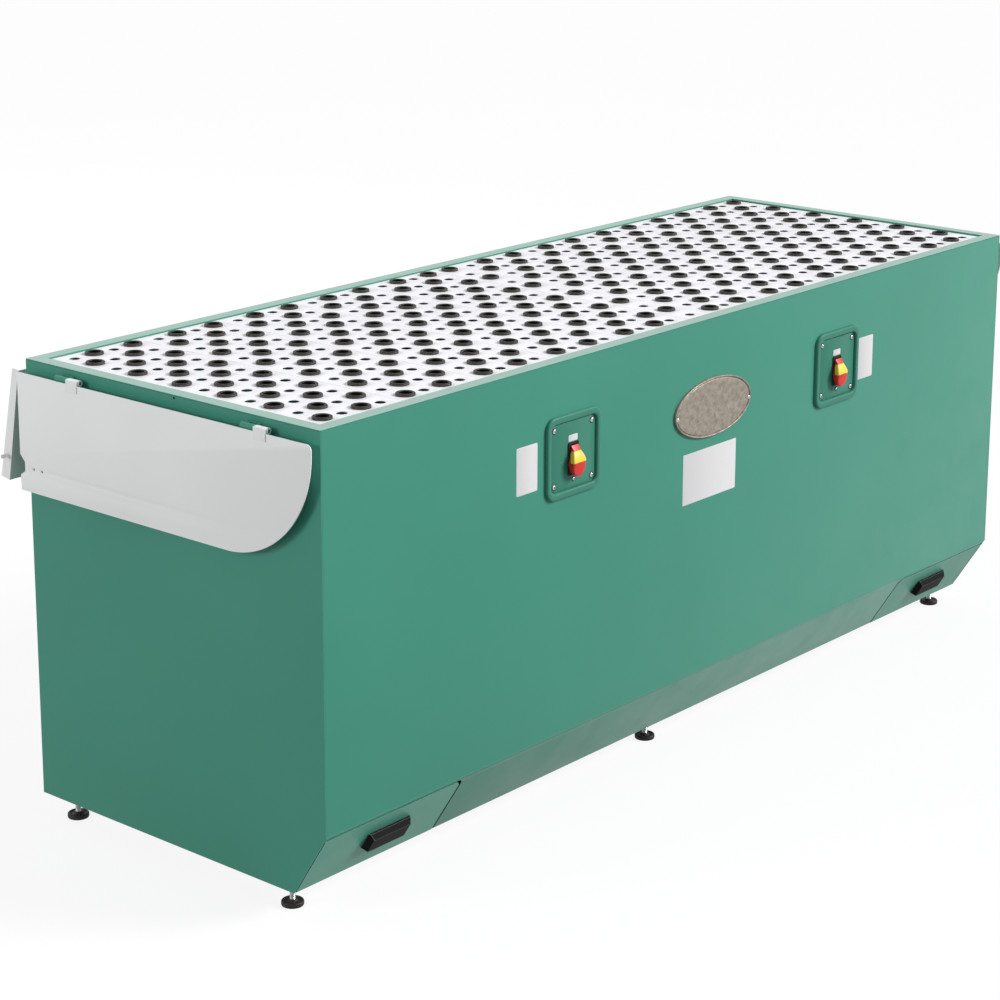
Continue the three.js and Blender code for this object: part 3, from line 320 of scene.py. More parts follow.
def ranged(tree, value, low=0.3, high=0.7, new_low=0.0, new_high=1.0):
    """The value moved from one range to another, by default from a noise's middle to 0 to 1."""
    inputs = {
        "Value": value, "From Min": low, "From Max": high, "To Min": new_low, "To Max": new_high,
    }
    return node(tree, "ShaderNodeMapRange", inputs).outputs["Result"]


def rgba(colour):
    """The colour as a shader's input takes it; a socket stays as it is."""
    return colour if isinstance(colour, bpy.types.NodeSocket) else (*colour, 1.0)


def shaded(colour, share):
    """The colour made lighter or darker by a share."""
    return [min(1.0, channel * share) for channel in colour]


def mixed(tree, factor, first, second):
    """A colour between two, each a socket or (red, green, blue)."""
    inputs = {MIX_FACTOR: factor, MIX_FIRST: rgba(first), MIX_SECOND: rgba(second)}
    return node(tree, "ShaderNodeMix", inputs, data_type="RGBA").outputs[MIX_RESULT]


def rubbed_and_highlit_edges(tree, tone, radius, strength, edge_tone):
    """The tone turned to another one on the edges of the shape, from the rounded normal: partly rubbed paint,
    partly a painted highlight.
    """
    rounded = node(tree, "ShaderNodeBevel", {"Radius": radius}, samples=4).outputs["Normal"]
    real = node(tree, "ShaderNodeNewGeometry").outputs["Normal"]
    alike = node(tree, "ShaderNodeVectorMath", {0: rounded, 1: real}, operation="DOT_PRODUCT")
    edge = ranged(tree, alike.outputs["Value"], 0.995, 0.8, 0.0, strength)
    return mixed(tree, edge, tone, edge_tone)


def painted_upward_sheen(tree, tone, share):
    """A painted sheen: the faces that look up turned toward a pale tone, standing in for their reflection."""
    normal = node(tree, "ShaderNodeNewGeometry").outputs["Normal"]
    upward = node(tree, "ShaderNodeSeparateXYZ", {"Vector": normal}).outputs["Z"]
    return mixed(tree, ranged(tree, upward, 0.6, 0.98, 0.0, share), tone, PAINTED_SHEEN_TONE)


def surface(tree, tone, rough, relief, strength, distance):
    """Gives a finish its colour, its roughness and its relief."""
    inputs = {"Height": relief, "Strength": strength, "Distance": distance}
    bumped = node(tree, "ShaderNodeBump", inputs).outputs["Normal"]
    inputs = {"Base Color": tone, "Roughness": rough, "Normal": bumped}
    feed(tree, tree.nodes["Principled BSDF"], inputs)


def paint(name, colour, roughness, edge_tone, edge_share, peel=0.05, dust=0.0, film=0.0):
    """Powder coat: slow drifts of tone, an orange peel skin, edges paler where rubbed and by a painted highlight,
    a little dust, and with film a painted sheen on the faces that look up.
    """
    tree = new_material(name, {"Specular IOR Level": 0.2})
    drift = ranged(tree, noise_value(tree, 1.7, 3.0))
    tone = mixed(tree, drift, shaded(colour, 0.95), shaded(colour, 1.05))
    specks = ranged(tree, noise_value(tree, 900.0, 1.0), 0.66, 0.74, 0.0, 0.12)
    tone = mixed(tree, specks, tone, shaded(colour, 1.6))
    patches = ranged(tree, noise_value(tree, 7.0, 6.0, 0.65), 0.52, 0.8, 0.0, dust)
    tone = mixed(tree, patches, tone, DUST)
    # Where film is set: a painted sheen on the faces that look up, for the pale reflection on them
    if film:
        tone = painted_upward_sheen(tree, tone, film)
    tone = rubbed_and_highlit_edges(tree, tone, 1.2 * MM, edge_share, edge_tone)
    smears = noise_value(tree, 11.0, 5.0, 0.6)
    rough = ranged(tree, smears, 0.3, 0.75, roughness - 0.05, roughness + 0.07)
    surface(tree, tone, rough, noise_value(tree, 420.0, 2.0, 0.4), peel, 0.3 * MM)


def rubber(name, colour, roughness):
    """Moulded rubber: mottled, with a grey bloom and a painted highlight on its edges."""
    tree = new_material(name, {"Specular IOR Level": 0.25})
    patches = ranged(tree, noise_value(tree, 55.0, 4.0, 0.6), 0.35)
    tone = mixed(tree, patches, shaded(colour, 0.75), shaded(colour, 1.5))
    tone = rubbed_and_highlit_edges(tree, tone, 0.8 * MM, 0.75, (0.3, 0.28, 0.24))
    grain = noise_value(tree, 1500.0)
    rough = ranged(tree, grain, 0.3, 0.7, roughness - 0.08, roughness + 0.08)
    surface(tree, tone, rough, grain, 0.15, 0.1 * MM)


def plastic(name, colour, roughness, edge_tone, edge_share=0.3, gloss=0.3, edge=0.7 * MM):
    """Moulded plastic with a fine grain, its edges a little paler: partly rubbed, partly a painted highlight."""
    tree = new_material(name, {"Specular IOR Level": gloss})
    drift = ranged(tree, noise_value(tree, 40.0))
    tone = mixed(tree, drift, shaded(colour, 0.93), shaded(colour, 1.07))
    tone = rubbed_and_highlit_edges(tree, tone, edge, edge_share, edge_tone)
    grain = noise_value(tree, 1800.0, 1.0)
    rough = ranged(tree, grain, 0.3, 0.7, roughness - 0.04, roughness + 0.06)
    surface(tree, tone, rough, grain, 0.08, 0.08 * MM)


def metal(name, colour, roughness):
    """Bright metal with a fine grain and duller patches."""
    tree = new_material(name, {"Metallic": 1.0})
    grain = noise_value(tree, 600.0, 3.0, 0.6)
    patches = ranged(tree, noise_value(tree, 60.0, 4.0))
    tone = mixed(tree, patches, shaded(colour, 0.82), shaded(colour, 1.1))
    rough = ranged(tree, grain, 0.3, 0.7, roughness - 0.07, roughness + 0.12)
    surface(tree, tone, rough, grain, 0.06, 0.08 * MM)


def galvanised(name):
    """Zinc spangle: crystals a centimetre across, each with its own tone and gloss."""
    tree = new_material(name, {"Metallic": 0.9})
    cells = node(tree, "ShaderNodeTexVoronoi", {"Vector": object_place(tree), "Scale": 95.0})
    split = node(tree, "ShaderNodeSeparateColor", {"Color": cells.outputs["Color"]})
    spangle = split.outputs["Red"]
    tone = mixed(tree, spangle, (0.33, 0.35, 0.36), (0.5, 0.53, 0.55))
    rough = ranged(tree, spangle, 0.0, 1.0, 0.35, 0.55)
    surface(tree, tone, rough, noise_value(tree, 300.0), 0.05, 0.1 * MM)


def cast_metal(name):
    """Antiqued casting: warm pewter on the heights and dark stain in the hollows."""
    tree = new_material(name, {"Metallic": 0.55})
    heights = ranged(tree, noise_value(tree, 90.0, 5.0, 0.6), 0.38, 0.62)
    fine = ranged(tree, noise_value(tree, 600.0, 3.0, 0.6), 0.35, 0.65)
    tone = mixed(tree, heights, (0.2, 0.17, 0.14), (0.33, 0.285, 0.235))
    tone = mixed(tree, ranged(tree, fine, 0.0, 1.0, 0.0, 0.3), tone, (0.38, 0.34, 0.29))
    # Paler edges: partly rubbed metal, partly a painted highlight
    tone = rubbed_and_highlit_edges(tree, tone, 0.9 * MM, 0.6, (0.5, 0.47, 0.43))
    surface(tree, tone, ranged(tree, heights, 0.0, 1.0, 0.62, 0.42), heights, 0.5, 0.4 * MM)


def filter_paper(name):
    """Pleated filter paper with its fibres."""
    tree = new_material(name)
    fibres = noise_value(tree, 900.0, 5.0, 0.7)
    tone = mixed(tree, fibres, (0.52, 0.47, 0.34), (0.74, 0.69, 0.54))
    surface(tree, tone, 0.95, fibres, 0.4, 0.2 * MM)


def printed_film(name):
    """Blank white film with faint ripples where it was smoothed down."""
    tree = new_material(name)
    ripples = noise_value(tree, 38.0)
    fine = noise_value(tree, 700.0)
    tone = mixed(tree, fine, (0.66, 0.65, 0.66), (0.72, 0.72, 0.73))
    surface(tree, tone, ranged(tree, ripples, 0.3, 0.7, 0.3, 0.42), ripples, 0.12, 0.3 * MM)


paint("green_paint", GREEN, 0.36, PALE_GREEN, 0.4)
# The rim takes a painted sheen on its faces that look up
paint("rim_paint", GREEN, 0.36, PALE_GREEN, 0.3, film=0.4)
# The switch plates and surrounds: the green darkened, a painted shade of their recess
paint("painted_shade_green", (0.041, 0.215, 0.15), 0.36, PALE_GREEN, 0.5)
paint("grey_paint", (0.87, 0.88, 0.88), 0.42, (0.6, 0.6, 0.61), 0.3)
paint("panel_paint", (0.84, 0.83, 0.86), 0.45, (0.92, 0.92, 0.94), 0.3, peel=0.04, dust=0.05)
paint("motor_paint", (0.045, 0.05, 0.055), 0.4, (0.2, 0.2, 0.2), 0.4, peel=0.08)
rubber("black_rubber", (0.013, 0.0115, 0.0095), 0.52)
plastic("black_plastic", (0.011, 0.011, 0.011), 0.45, (0.32, 0.31, 0.3), 0.45, gloss=0.15)
plastic("red_plastic", (0.68, 0.026, 0.018), 0.32, (0.8, 0.16, 0.12))
plastic("yellow_plastic", (0.9, 0.67, 0.075), 0.34, (0.95, 0.83, 0.36))
# The pulls: a strong pale edge, a painted highlight along the hood's front edge
plastic(
    "pull_plastic", (0.009, 0.01, 0.0095), 0.6, (0.5, 0.48, 0.46), 0.9, gloss=0.05, edge=1.5 * MM)
metal("zinc_steel", (0.5, 0.51, 0.52), 0.24)
galvanised("galvanised_steel")
cast_metal("cast_badge")
filter_paper("filter_media")
printed_film("label_white")


# Shapes

def arc(centre, radius, start, end, steps):
    """Points of an arc between two angles in degrees."""
    angles = [math.radians(start + (end - start) * step / steps) for step in range(steps + 1)]
    return [(centre[0] + radius * math.cos(a), centre[1] + radius * math.sin(a)) for a in angles]


def circle(radius, steps, centre=(0.0, 0.0), start=0):
    return arc(centre, radius, start, start + 360, steps)[:-1]


def rounded_rectangle(width, height, radius, steps=8):
    """Points round a rectangle with round corners, about the origin."""
    points = []
    for turn, (side_x, side_y) in zip((0, 90, 180, 270), [(1, 1), (-1, 1), (-1, -1), (1, -1)]):
        centre = (side_x * (width / 2 - radius), side_y * (height / 2 - radius))
        points += arc(centre, radius, turn, turn + 90, steps)
    return points


def in_metres(profile):
    return [(radius * MM, height * MM) for radius, height in profile]


def loft(shape, loops, capped=False, matrix=Matrix()):
    """Faces between closed loops of points, each with as many points as the next."""
    rows = [[shape.verts.new(matrix @ Vector(point)) for point in loop] for loop in loops]
    for near, far in zip(rows, rows[1:]):
        for index in range(len(near)):
            after = (index + 1) % len(near)
            shape.faces.new((near[index], near[after], far[after], far[index]))
    if capped:
        shape.faces.new(reversed(rows[0]))
        shape.faces.new(rows[-1])


def turned(shape, profile, steps, matrix=Matrix(), ring=False):
    """A profile turned about its own z: capped at both ends, or a ring closed on itself."""
    loops = [
        [(x, y, height) for x, y in circle(max(radius, WELD), steps)]
        for radius, height in ([*profile, profile[0]] if ring else profile)
    ]
    loft(shape, loops, not ring, matrix)


def rounded_box(shape, low, high, radius, matrix=Matrix()):
    """A block with rounded edges."""
    size = Vector(high) - Vector(low)
    middle = (Vector(high) + Vector(low)) / 2
    block = matrix @ Matrix.LocRotScale(middle, None, size)
    made = bmesh.ops.create_cube(shape, size=1.0, matrix=block)
    edges = list({edge for vertex in made["verts"] for edge in vertex.link_edges})
    bmesh.ops.bevel(shape, geom=edges, offset=radius, segments=3, profile=0.5, affect="EDGES")


def add_plate(shape, outer, thickness, edge, matrix, holes=()):
    """A flat plate in (u, v) with rounded edges, from w = 0 to w = thickness."""
    curve = bpy.data.curves.new("plate", "CURVE")
    curve.dimensions = "2D"
    curve.fill_mode = "BOTH"
    curve.extrude = thickness / 2 - edge
    curve.bevel_depth = edge
    curve.bevel_resolution = 1
    curve.offset = -edge
    for outline in [outer, *holes]:
        spline = curve.splines.new("POLY")
        spline.points.add(len(outline) - 1)
        for point, (u, v) in zip(spline.points, outline):
            point.co = (u, v, 0.0, 1.0)
        spline.use_cyclic_u = True
    holder = bpy.data.objects.new("plate", curve)
    mesh = bpy.data.meshes.new_from_object(holder)
    mesh.transform(matrix @ Matrix.Translation((0, 0, thickness / 2)))
    shape.from_mesh(mesh)
    bpy.data.objects.remove(holder)
    bpy.data.curves.remove(curve)
    bpy.data.meshes.remove(mesh)


def basis(u, v, w, place):
    """The matrix that lays (u, v, w) along three directions from a place."""
    matrix = Matrix((u, v, w)).transposed().to_4x4()
    matrix.translation = place
    return matrix


def finished_mesh(name, shape):
    """The mesh of a shape, its faces turned outward."""
    bmesh.ops.recalc_face_normals(shape, faces=shape.faces)
    mesh = bpy.data.meshes.new(name)
    shape.to_mesh(mesh)
    shape.free()
    return mesh


def placed(name, data):
    """A new object in the scene."""
    made = bpy.data.objects.new(name, data)
    bpy.context.scene.collection.objects.link(made)
    return made


def place_mesh(
        name, mesh, finish, nodes, body="cabinet", smooth=40.0, look=None, place=(0, 0, 0)):
    """Makes a piece of a mesh, with its finish, its body and the nodes that it stands for."""
    mesh.shade_smooth()
    mesh.set_sharp_from_angle(angle=math.radians(smooth))
    if not mesh.materials:
        mesh.materials.append(finishes[look or finish])
    piece = placed(name, mesh)
    piece.location = place
    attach(piece, body)
    if nodes:
        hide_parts(*nodes)
    return piece


def add_piece(name, shape, finish, nodes=(), body="cabinet", smooth=40.0, look=None):
    """Makes a piece of a shape that is drawn in the frame's own place."""
    bmesh.ops.remove_doubles(shape, verts=shape.verts, dist=WELD)
    return place_mesh(name, finished_mesh(name, shape), finish, nodes, body, smooth, look)


def add_bevel(piece, width, segments, least_angle):
    bevel = piece.modifiers.new("bevel", "BEVEL")
    bevel.width = width
    bevel.segments = segments
    bevel.limit_method = "ANGLE"
    bevel.angle_limit = math.radians(least_angle)
    return bevel


def soften(name, width):
    """Rounds the edges of a CAD node that keeps its shape."""
    piece = frame["nodes"][name]
    weld = piece.modifiers.new("weld", "WELD")
    weld.merge_threshold = 0.01 * MM
    add_bevel(piece, width, 2, 28)


def round_edges(piece, width):
    """Rounds the edges of a moulded piece."""
    add_bevel(piece, width, 3, 40).harden_normals = True


# Places from the frame
front_low, front_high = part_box("front_panel")
frame_low, frame_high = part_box("top_frame")
FRONT = frame_low.y
REAR = frame_high.y
RIM_TOP = frame_high.z
FLOOR_GAP = front_low.z
FOLD = FLOOR_GAP + BAND_DROP
SKIN_END = front_high.x
SKIN_TOP = front_high.z
BAND_ANGLE = math.atan2(BAND_INSET, BAND_DROP)
BAND_LENGTH = math.hypot(BAND_INSET, BAND_DROP)
X, Y, Z = Vector((1, 0, 0)), Vector((0, 1, 0)), Vector((0, 0, 1))


def box_middle(name):
    low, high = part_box(name)
    return (low + high) / 2


def on_front(name):
    """The middle of a node's box, brought to the plane of the front."""
    middle = box_middle(name)
    middle.y = FRONT
    return middle


def joint_row(name):
    return next(joint for joint in frame["joints"] if joint["name"] == name)


def joint_place(name):
    return Vector(joint_row(name)["pos_m"])


def joint_reach(name):
    """The joint's greatest turn from rest, in degrees."""
    return max(abs(limit) for limit in joint_row(name)["range_deg"])


# Camera, light and floor

def add_camera():
    data = bpy.data.cameras.new("camera")
    data.lens = CAMERA_LENS
    data.sensor_width = CAMERA_SENSOR
    data.shift_y = CAMERA_SHIFT
    camera = placed("camera", data)
    turn = Matrix.Rotation(math.radians(CAMERA_AZIMUTH), 4, "Z")
    tilt = Matrix.Rotation(math.radians(90 - CAMERA_PITCH), 4, "X")
    roll = Matrix.Rotation(math.radians(CAMERA_ROLL), 4, "Z")
    place = Vector(CAMERA_PLACE) + FRONT * Y
    camera.matrix_world = Matrix.Translation(place) @ turn @ tilt @ roll
    bpy.context.scene.camera = camera


def link_lamp(name, data, place, direction):
    """Hangs a lamp at a place, turned so that it shines in a direction."""
    lamp = placed(name, data)
    lamp.location = place
    lamp.rotation_euler = Vector(direction).to_track_quat("-Z", "Y").to_euler()


def add_sun(towards, strength, spread):
    """A soft distant light from one side, its spread in degrees."""
    data = bpy.data.lights.new("key", "SUN")
    data.energy = strength
    data.angle = math.radians(spread)
    link_lamp("key", data, (0, 0, 0), -Vector(towards))


def add_lamp(name, place, aim, size, power):
    data = bpy.data.lights.new(name, "AREA")
    data.shape = "RECTANGLE"
    data.size, data.size_y = size
    data.energy = power
    link_lamp(name, data, place, Vector(aim) - Vector(place))


def greater(tree, first, second):
    return node(tree, "ShaderNodeMath", {0: first, 1: second}, operation="MAXIMUM").outputs[0]


def seen_directly(tree):
    """1 for rays that see the background: straight from the camera, or in gloss or glass."""
    path = node(tree, "ShaderNodeLightPath")
    straight = greater(tree, path.outputs["Is Camera Ray"], path.outputs["Is Glossy Ray"])
    return greater(tree, straight, path.outputs["Is Transmission Ray"])


def add_world():
    world = bpy.context.scene.world = bpy.data.worlds.new("studio")
    world.use_nodes = True
    tree = world.node_tree
    colour = mixed(tree, seen_directly(tree), AMBIENT, WHITE)
    feed(tree, tree.nodes["Background"], {"Color": colour})


def add_floor():
    """A pale floor that glows white where it is seen, and keeps the table's shadow."""
    shape = bmesh.new()
    bmesh.ops.create_grid(shape, x_segments=8, y_segments=8, size=FLOOR_SIZE)
    mesh = bpy.data.meshes.new("floor")
    shape.to_mesh(mesh)
    shape.free()
    tree = new_material("floor", {"Roughness": 0.9})
    shader = tree.nodes["Principled BSDF"]
    seen = seen_directly(tree)
    feed(tree, shader, {"Base Color": mixed(tree, seen, FLOOR_TONE, FLOOR_SEEN)})
    glow = node(tree, "ShaderNodeEmission", {"Color": rgba(WHITE), "Strength": 1.0}).outputs[0]
    share = node(tree, "ShaderNodeMath", {0: seen, 1: FLOOR_GLOW}, operation="MULTIPLY").outputs[0]
    both = node(tree, "ShaderNodeMixShader", {0: share, 1: shader.outputs[0], 2: glow}).outputs[0]
    feed(tree, tree.nodes["Material Output"], {"Surface": both})
    mesh.materials.append(finishes["floor"])
    floor = placed("floor", mesh)


def add_studio():
    add_camera()
    add_world()
    add_floor()
    add_sun(*SUN)
    for name, setting in LAMPS.items():
        add_lamp(name, *setting)


# Perforated top

def cell_rows(columns, size):
    """Each cell of a panel: its edges, its hole's centre, and whether it holds a ring."""
    first_ring = 1 if columns > 1 else 0
    width, depth = size.x, size.y
    pitch_x = (width - 2 * COLUMN_MARGIN) / (columns - 1) if columns > 1 else 0.0
    pitch_y = (depth - 2 * ROW_MARGIN) / (ROWS - 1)
    for row in range(ROWS):
        y = depth / 2 - ROW_MARGIN - row * pitch_y
        y_low = -depth / 2 if row == ROWS - 1 else y - pitch_y / 2
        y_high = depth / 2 if row == 0 else y + pitch_y / 2
        for column in range(columns):
            x = (column - (columns - 1) / 2) * pitch_x
            x_low = -width / 2 if column == 0 else x - pitch_x / 2
            x_high = width / 2 if column == columns - 1 else x + pitch_x / 2
            yield (x_low, x_high, y_low, y_high), (x, y), (row + column) % 2 == first_ring


def cell_border(edges):
    """Points round a cell from its lower right corner, as many on each side."""
    x_low, x_high, y_low, y_high = edges
    corners = [(x_high, y_low), (x_high, y_high), (x_low, y_high), (x_low, y_low)]
    points = []
    for index, (x, y) in enumerate(corners):
        next_x, next_y = corners[(index + 1) % 4]
        for step in range(HOLE_STEPS):
            share = step / HOLE_STEPS
            points.append((x + (next_x - x) * share, y + (next_y - y) * share))
    return points


def hole_loop(centre, radius, height):
    """Points round a hole, as many as round its cell and from the same corner."""
    return [(x, y, height) for x, y in circle(radius, 4 * HOLE_STEPS, centre, -45)]


def on_side(edge, half_width, half_depth):
    """Whether an open edge of the plate lies on its outline."""
    return edge.is_boundary and all(
        abs(abs(v.co.x) - half_width) < 1e-5 or abs(abs(v.co.y) - half_depth) < 1e-5
        for v in edge.verts)


def perforated_plate(columns, size):
    """A panel's sheet about the middle of its top, holed in every cell, with folded flanges."""
    shape = bmesh.new()
    width, depth = size.x, size.y
    for edges, centre, ringed in cell_rows(columns, size):
        radius = RING_SEAT if ringed else SMALL_HOLE
        border = cell_border(edges)
        loft(shape, [
            [(x, y, 0.0) for x, y in border],
            hole_loop(centre, radius + HOLE_EDGE, 0.0),
            hole_loop(centre, radius + HOLE_BEND, -HOLE_BEND),
            hole_loop(centre, radius, -HOLE_EDGE),
            hole_loop(centre, radius, -PANEL_SHEET),
            [(x, y, -PANEL_SHEET) for x, y in border],
        ])
    bmesh.ops.remove_doubles(shape, verts=shape.verts, dist=WELD)
    sides = [edge for edge in shape.edges if on_side(edge, width / 2, depth / 2)]
    bmesh.ops.bridge_loops(shape, edges=sides)
    middle = -(PANEL_SHEET + PANEL_THICKNESS) / 2
    for quarter, (length, reach) in enumerate([(width, depth), (depth, width)] * 2):
        place = Vector((0, (PANEL_SHEET - reach) / 2, middle))
        scale = Vector((length, PANEL_SHEET, PANEL_THICKNESS - PANEL_SHEET))
        turn = Matrix.Rotation(quarter * math.pi / 2, 4, "Z")
        flange = turn @ Matrix.LocRotScale(place, None, scale)
        bmesh.ops.create_cube(shape, size=1.0, matrix=flange)
    return finished_mesh("perforated_plate", shape)


def ring_set(columns, size):
    """The rubber rings of a panel, one in every second cell."""
    shape = bmesh.new()
    for _, (x, y), ringed in cell_rows(columns, size):
        if ringed:
            place = Matrix.Translation((x, y, 0.0))
            turned(shape, in_metres(RING_PROFILE), RING_STEPS, place, ring=True)
    return finished_mesh("ring_set", shape)


def add_top():
    """The ten panels share one plate and one set of rings; the centre strip has its own."""
    panels = [f"table_panel_{index + 1}" for index in range(PANELS)]
    for columns, names in ((COLUMNS, panels), (1, ["centre_strip"])):
        low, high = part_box(names[0])
        plate = perforated_plate(columns, high - low)
        rings = ring_set(columns, high - low)
        for name in names:
            place = box_middle(name)
            place.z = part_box(name)[1].z - RING_HEIGHT
            place_mesh(f"{name}_plate", plate, "panel_paint", [name], smooth=30.0, place=place)
            place_mesh(f"{name}_rings", rings, "black_rubber", [name], smooth=50.0, place=place)


# Cabinet

def band_matrix():
    """Lays (x, up the band, outward) on the sloping band."""
    up = Vector((0, -math.sin(BAND_ANGLE), math.cos(BAND_ANGLE)))
    outward = Vector((0, -math.cos(BAND_ANGLE), -math.sin(BAND_ANGLE)))
    return basis(X, up, outward, (0, FRONT + BAND_INSET, FLOOR_GAP))


def swept_bend(shape, centre, start, end, half_length):
    """A bend along x: the outer face at the fold's radius, the inner one a sheet further in."""
    outline = arc(centre, FOLD_RADIUS, start, end, 8)
    outline += arc(centre, FOLD_RADIUS - SHEET, end, start, 8)
    loft(shape, [[(x, y, z) for y, z in outline] for x in (-half_length, half_length)], True)


def add_front_panel():
    """The front sheet: the face, the fold, the band round the drawers and the return below."""
    shape = bmesh.new()
    setback = FOLD_RADIUS * math.tan(BAND_ANGLE / 2)
    face_low = FOLD + setback
    face = [
        (-SKIN_END, face_low), (SKIN_END, face_low), (SKIN_END, SKIN_TOP), (-SKIN_END, SKIN_TOP),
    ]
    add_plate(shape, face, SHEET, FACE_EDGE, basis(X, Z, -Y, (0, FRONT + SHEET, 0)))
    band_turn = 180.0 + math.degrees(BAND_ANGLE)
    swept_bend(shape, (FRONT + FOLD_RADIUS, face_low), 180.0, band_turn, SKIN_END)
    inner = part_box("right_dust_drawer")[0].x - DRAWER_SEAM
    top = BAND_LENGTH - DRAWER_TOP_MARGIN + DRAWER_SEAM
    low = FOLD_RADIUS * math.tan((math.pi / 2 - BAND_ANGLE) / 2)
    high = BAND_LENGTH - setback
    band = [
        (-inner, low), (inner, low), (inner, top - DRAWER_CORNER), (inner + DRAWER_CORNER, top),
        (SKIN_END, top), (SKIN_END, high), (-SKIN_END, high), (-SKIN_END, top),
        (-inner - DRAWER_CORNER, top), (-inner, top - DRAWER_CORNER),
    ]
    band_back = band_matrix() @ Matrix.Translation((0, 0, -SHEET))
    add_plate(shape, band, SHEET, BAND_EDGE, band_back)
    foot_y = FRONT + BAND_INSET + low
    swept_bend(shape, (foot_y, FLOOR_GAP + FOLD_RADIUS), band_turn, 270.0, inner)
    reach = RETURN_FLANGE - low
    flange = [(-inner, 0), (inner, 0), (inner, reach), (-inner, reach)]
    add_plate(shape, flange, SHEET, BAND_EDGE, basis(X, Y, Z, (0, foot_y, FLOOR_GAP)))
    add_piece("front_skin", shape, "green_paint", ["front_panel"], smooth=30.0)
    for side in ("left", "right"):
        add_surround(side)


def hood_level(up, half, ends, back, out):
    """One level of a hood in (x, up the band, outward): its ends slope in towards the front."""
    return [(-half, up, back), (ends - half, up, out), (half - ends, up, out), (half, up, back)]


def add_pull(side):
    """A drawer's pull: a black hood with a sloping top and ends, open below for the fingers."""
    name = f"{side}_drawer_pull"
    node_piece = frame["nodes"][name]
    to_band = band_matrix().inverted() @ node_piece.matrix_world
    points = [to_band @ vertex.co for vertex in node_piece.data.vertices]
    low, high = [
        Vector([pick(point[axis] for point in points) for axis in range(3)]) for pick in (min, max)
    ]
    half, out = (high.x - low.x) / 2, high.z
    inner, inner_out = half - PULL_WALL, out - PULL_WALL
    brow = high.y - PULL_SLOPE
    levels = [
        hood_level(high.y, half, PULL_NOSE * PULL_SLOPE, 0.0, PULL_NOSE * out),
        hood_level(brow, half, PULL_SLOPE, 0.0, out),
        hood_level(low.y, half, PULL_SLOPE, 0.0, out),
        hood_level(low.y, inner, PULL_SLOPE, PULL_WALL / 2, inner_out),
        hood_level(brow - PULL_WALL, inner, PULL_SLOPE, PULL_WALL / 2, inner_out),
    ]
    matrix = band_matrix() @ Matrix.Translation(((low.x + high.x) / 2, 0, 0))
    shape = bmesh.new()
    loft(shape, levels, True, matrix)
    piece = add_piece(
        f"{side}_pull", shape, "black_plastic", [name], f"{side}_drawer", 30.0, "pull_plastic")
    round_edges(piece, PULL_EDGE)


# Switches

def slope_loops(size, sign):
    """The rectangles of a pressed slope (width, height, corner, rise), in or out from a size."""
    width, height, radius = size
    return [
        (width - 2 * sign * inset * MM, height - 2 * sign * inset * MM,
         radius - sign * inset * MM, rise * MM)
        for inset, rise in SURROUND_STEPS
    ]


def add_surround(side):
    """The pressed frame round a switch plate: it rises, runs flat and falls to the recess."""
    middle = on_front(f"{side}_switch_plate")
    slopes = slope_loops(SURROUND, 1) + slope_loops(RECESS, -1)[::-1]
    sunk = [(*slopes[end][:3], -SURROUND_SINK) for end in (0, -1)]
    rows = []
    for width, height, radius, rise in [sunk[0], *slopes, sunk[1]]:
        points = rounded_rectangle(width, height, radius)
        rows.append([(u, v, rise) for u, v in points])
    shape = bmesh.new()
    loft(shape, [*rows, rows[0]], matrix=basis(X, Z, -Y, middle))
    # In the darker green, a painted shade of the recess
    add_piece(
        f"{side}_surround", shape, "green_paint", ["front_panel"], smooth=50.0, look="painted_shade_green")


def pan_screw(shape, place, radius, height):
    """A pan-head screw that faces the front."""
    scale = height / SCREW_HEAD_HEIGHT
    turned(shape, [(r * radius, h * scale) for r, h in SCREW_HEAD], 24, basis(X, Z, -Y, place))


def painted_screw_shade(shape, place, radius, height):
    """Painted shade of a screw: a dark cross on its head for the shade in its recess, and a dark washer-like ring
    under it, a painted shadow round the head.
    """
    rim = radius + SHADE_RING_RIM
    washer = [(0, -SHADE_RING_SINK), (rim, -SHADE_RING_SINK), (rim, SHADE_RING_RISE), (0, SHADE_RING_RISE)]
    matrix = basis(X, Z, -Y, place)
    turned(shape, washer, 24, matrix)
    half = CROSS_REACH * radius
    low = (-half, -CROSS_HALF_WIDTH, height - CROSS_HALF_WIDTH)
    high = (half, CROSS_HALF_WIDTH, height + CROSS_RISE)
    for angle in (CROSS_TURN, CROSS_TURN + math.pi / 2):
        turn = Matrix.Rotation(angle, 4, "Z")
        rounded_box(shape, low, high, CROSS_EDGE, matrix @ turn)


def add_film(name, outline, middle):
    """A thin white film on the front, in (x, z) about its middle."""
    shape = bmesh.new()
    add_plate(shape, outline, FILM_THICKNESS, FILM_EDGE, basis(X, Z, -Y, middle))
    add_piece(name, shape, "label_white")


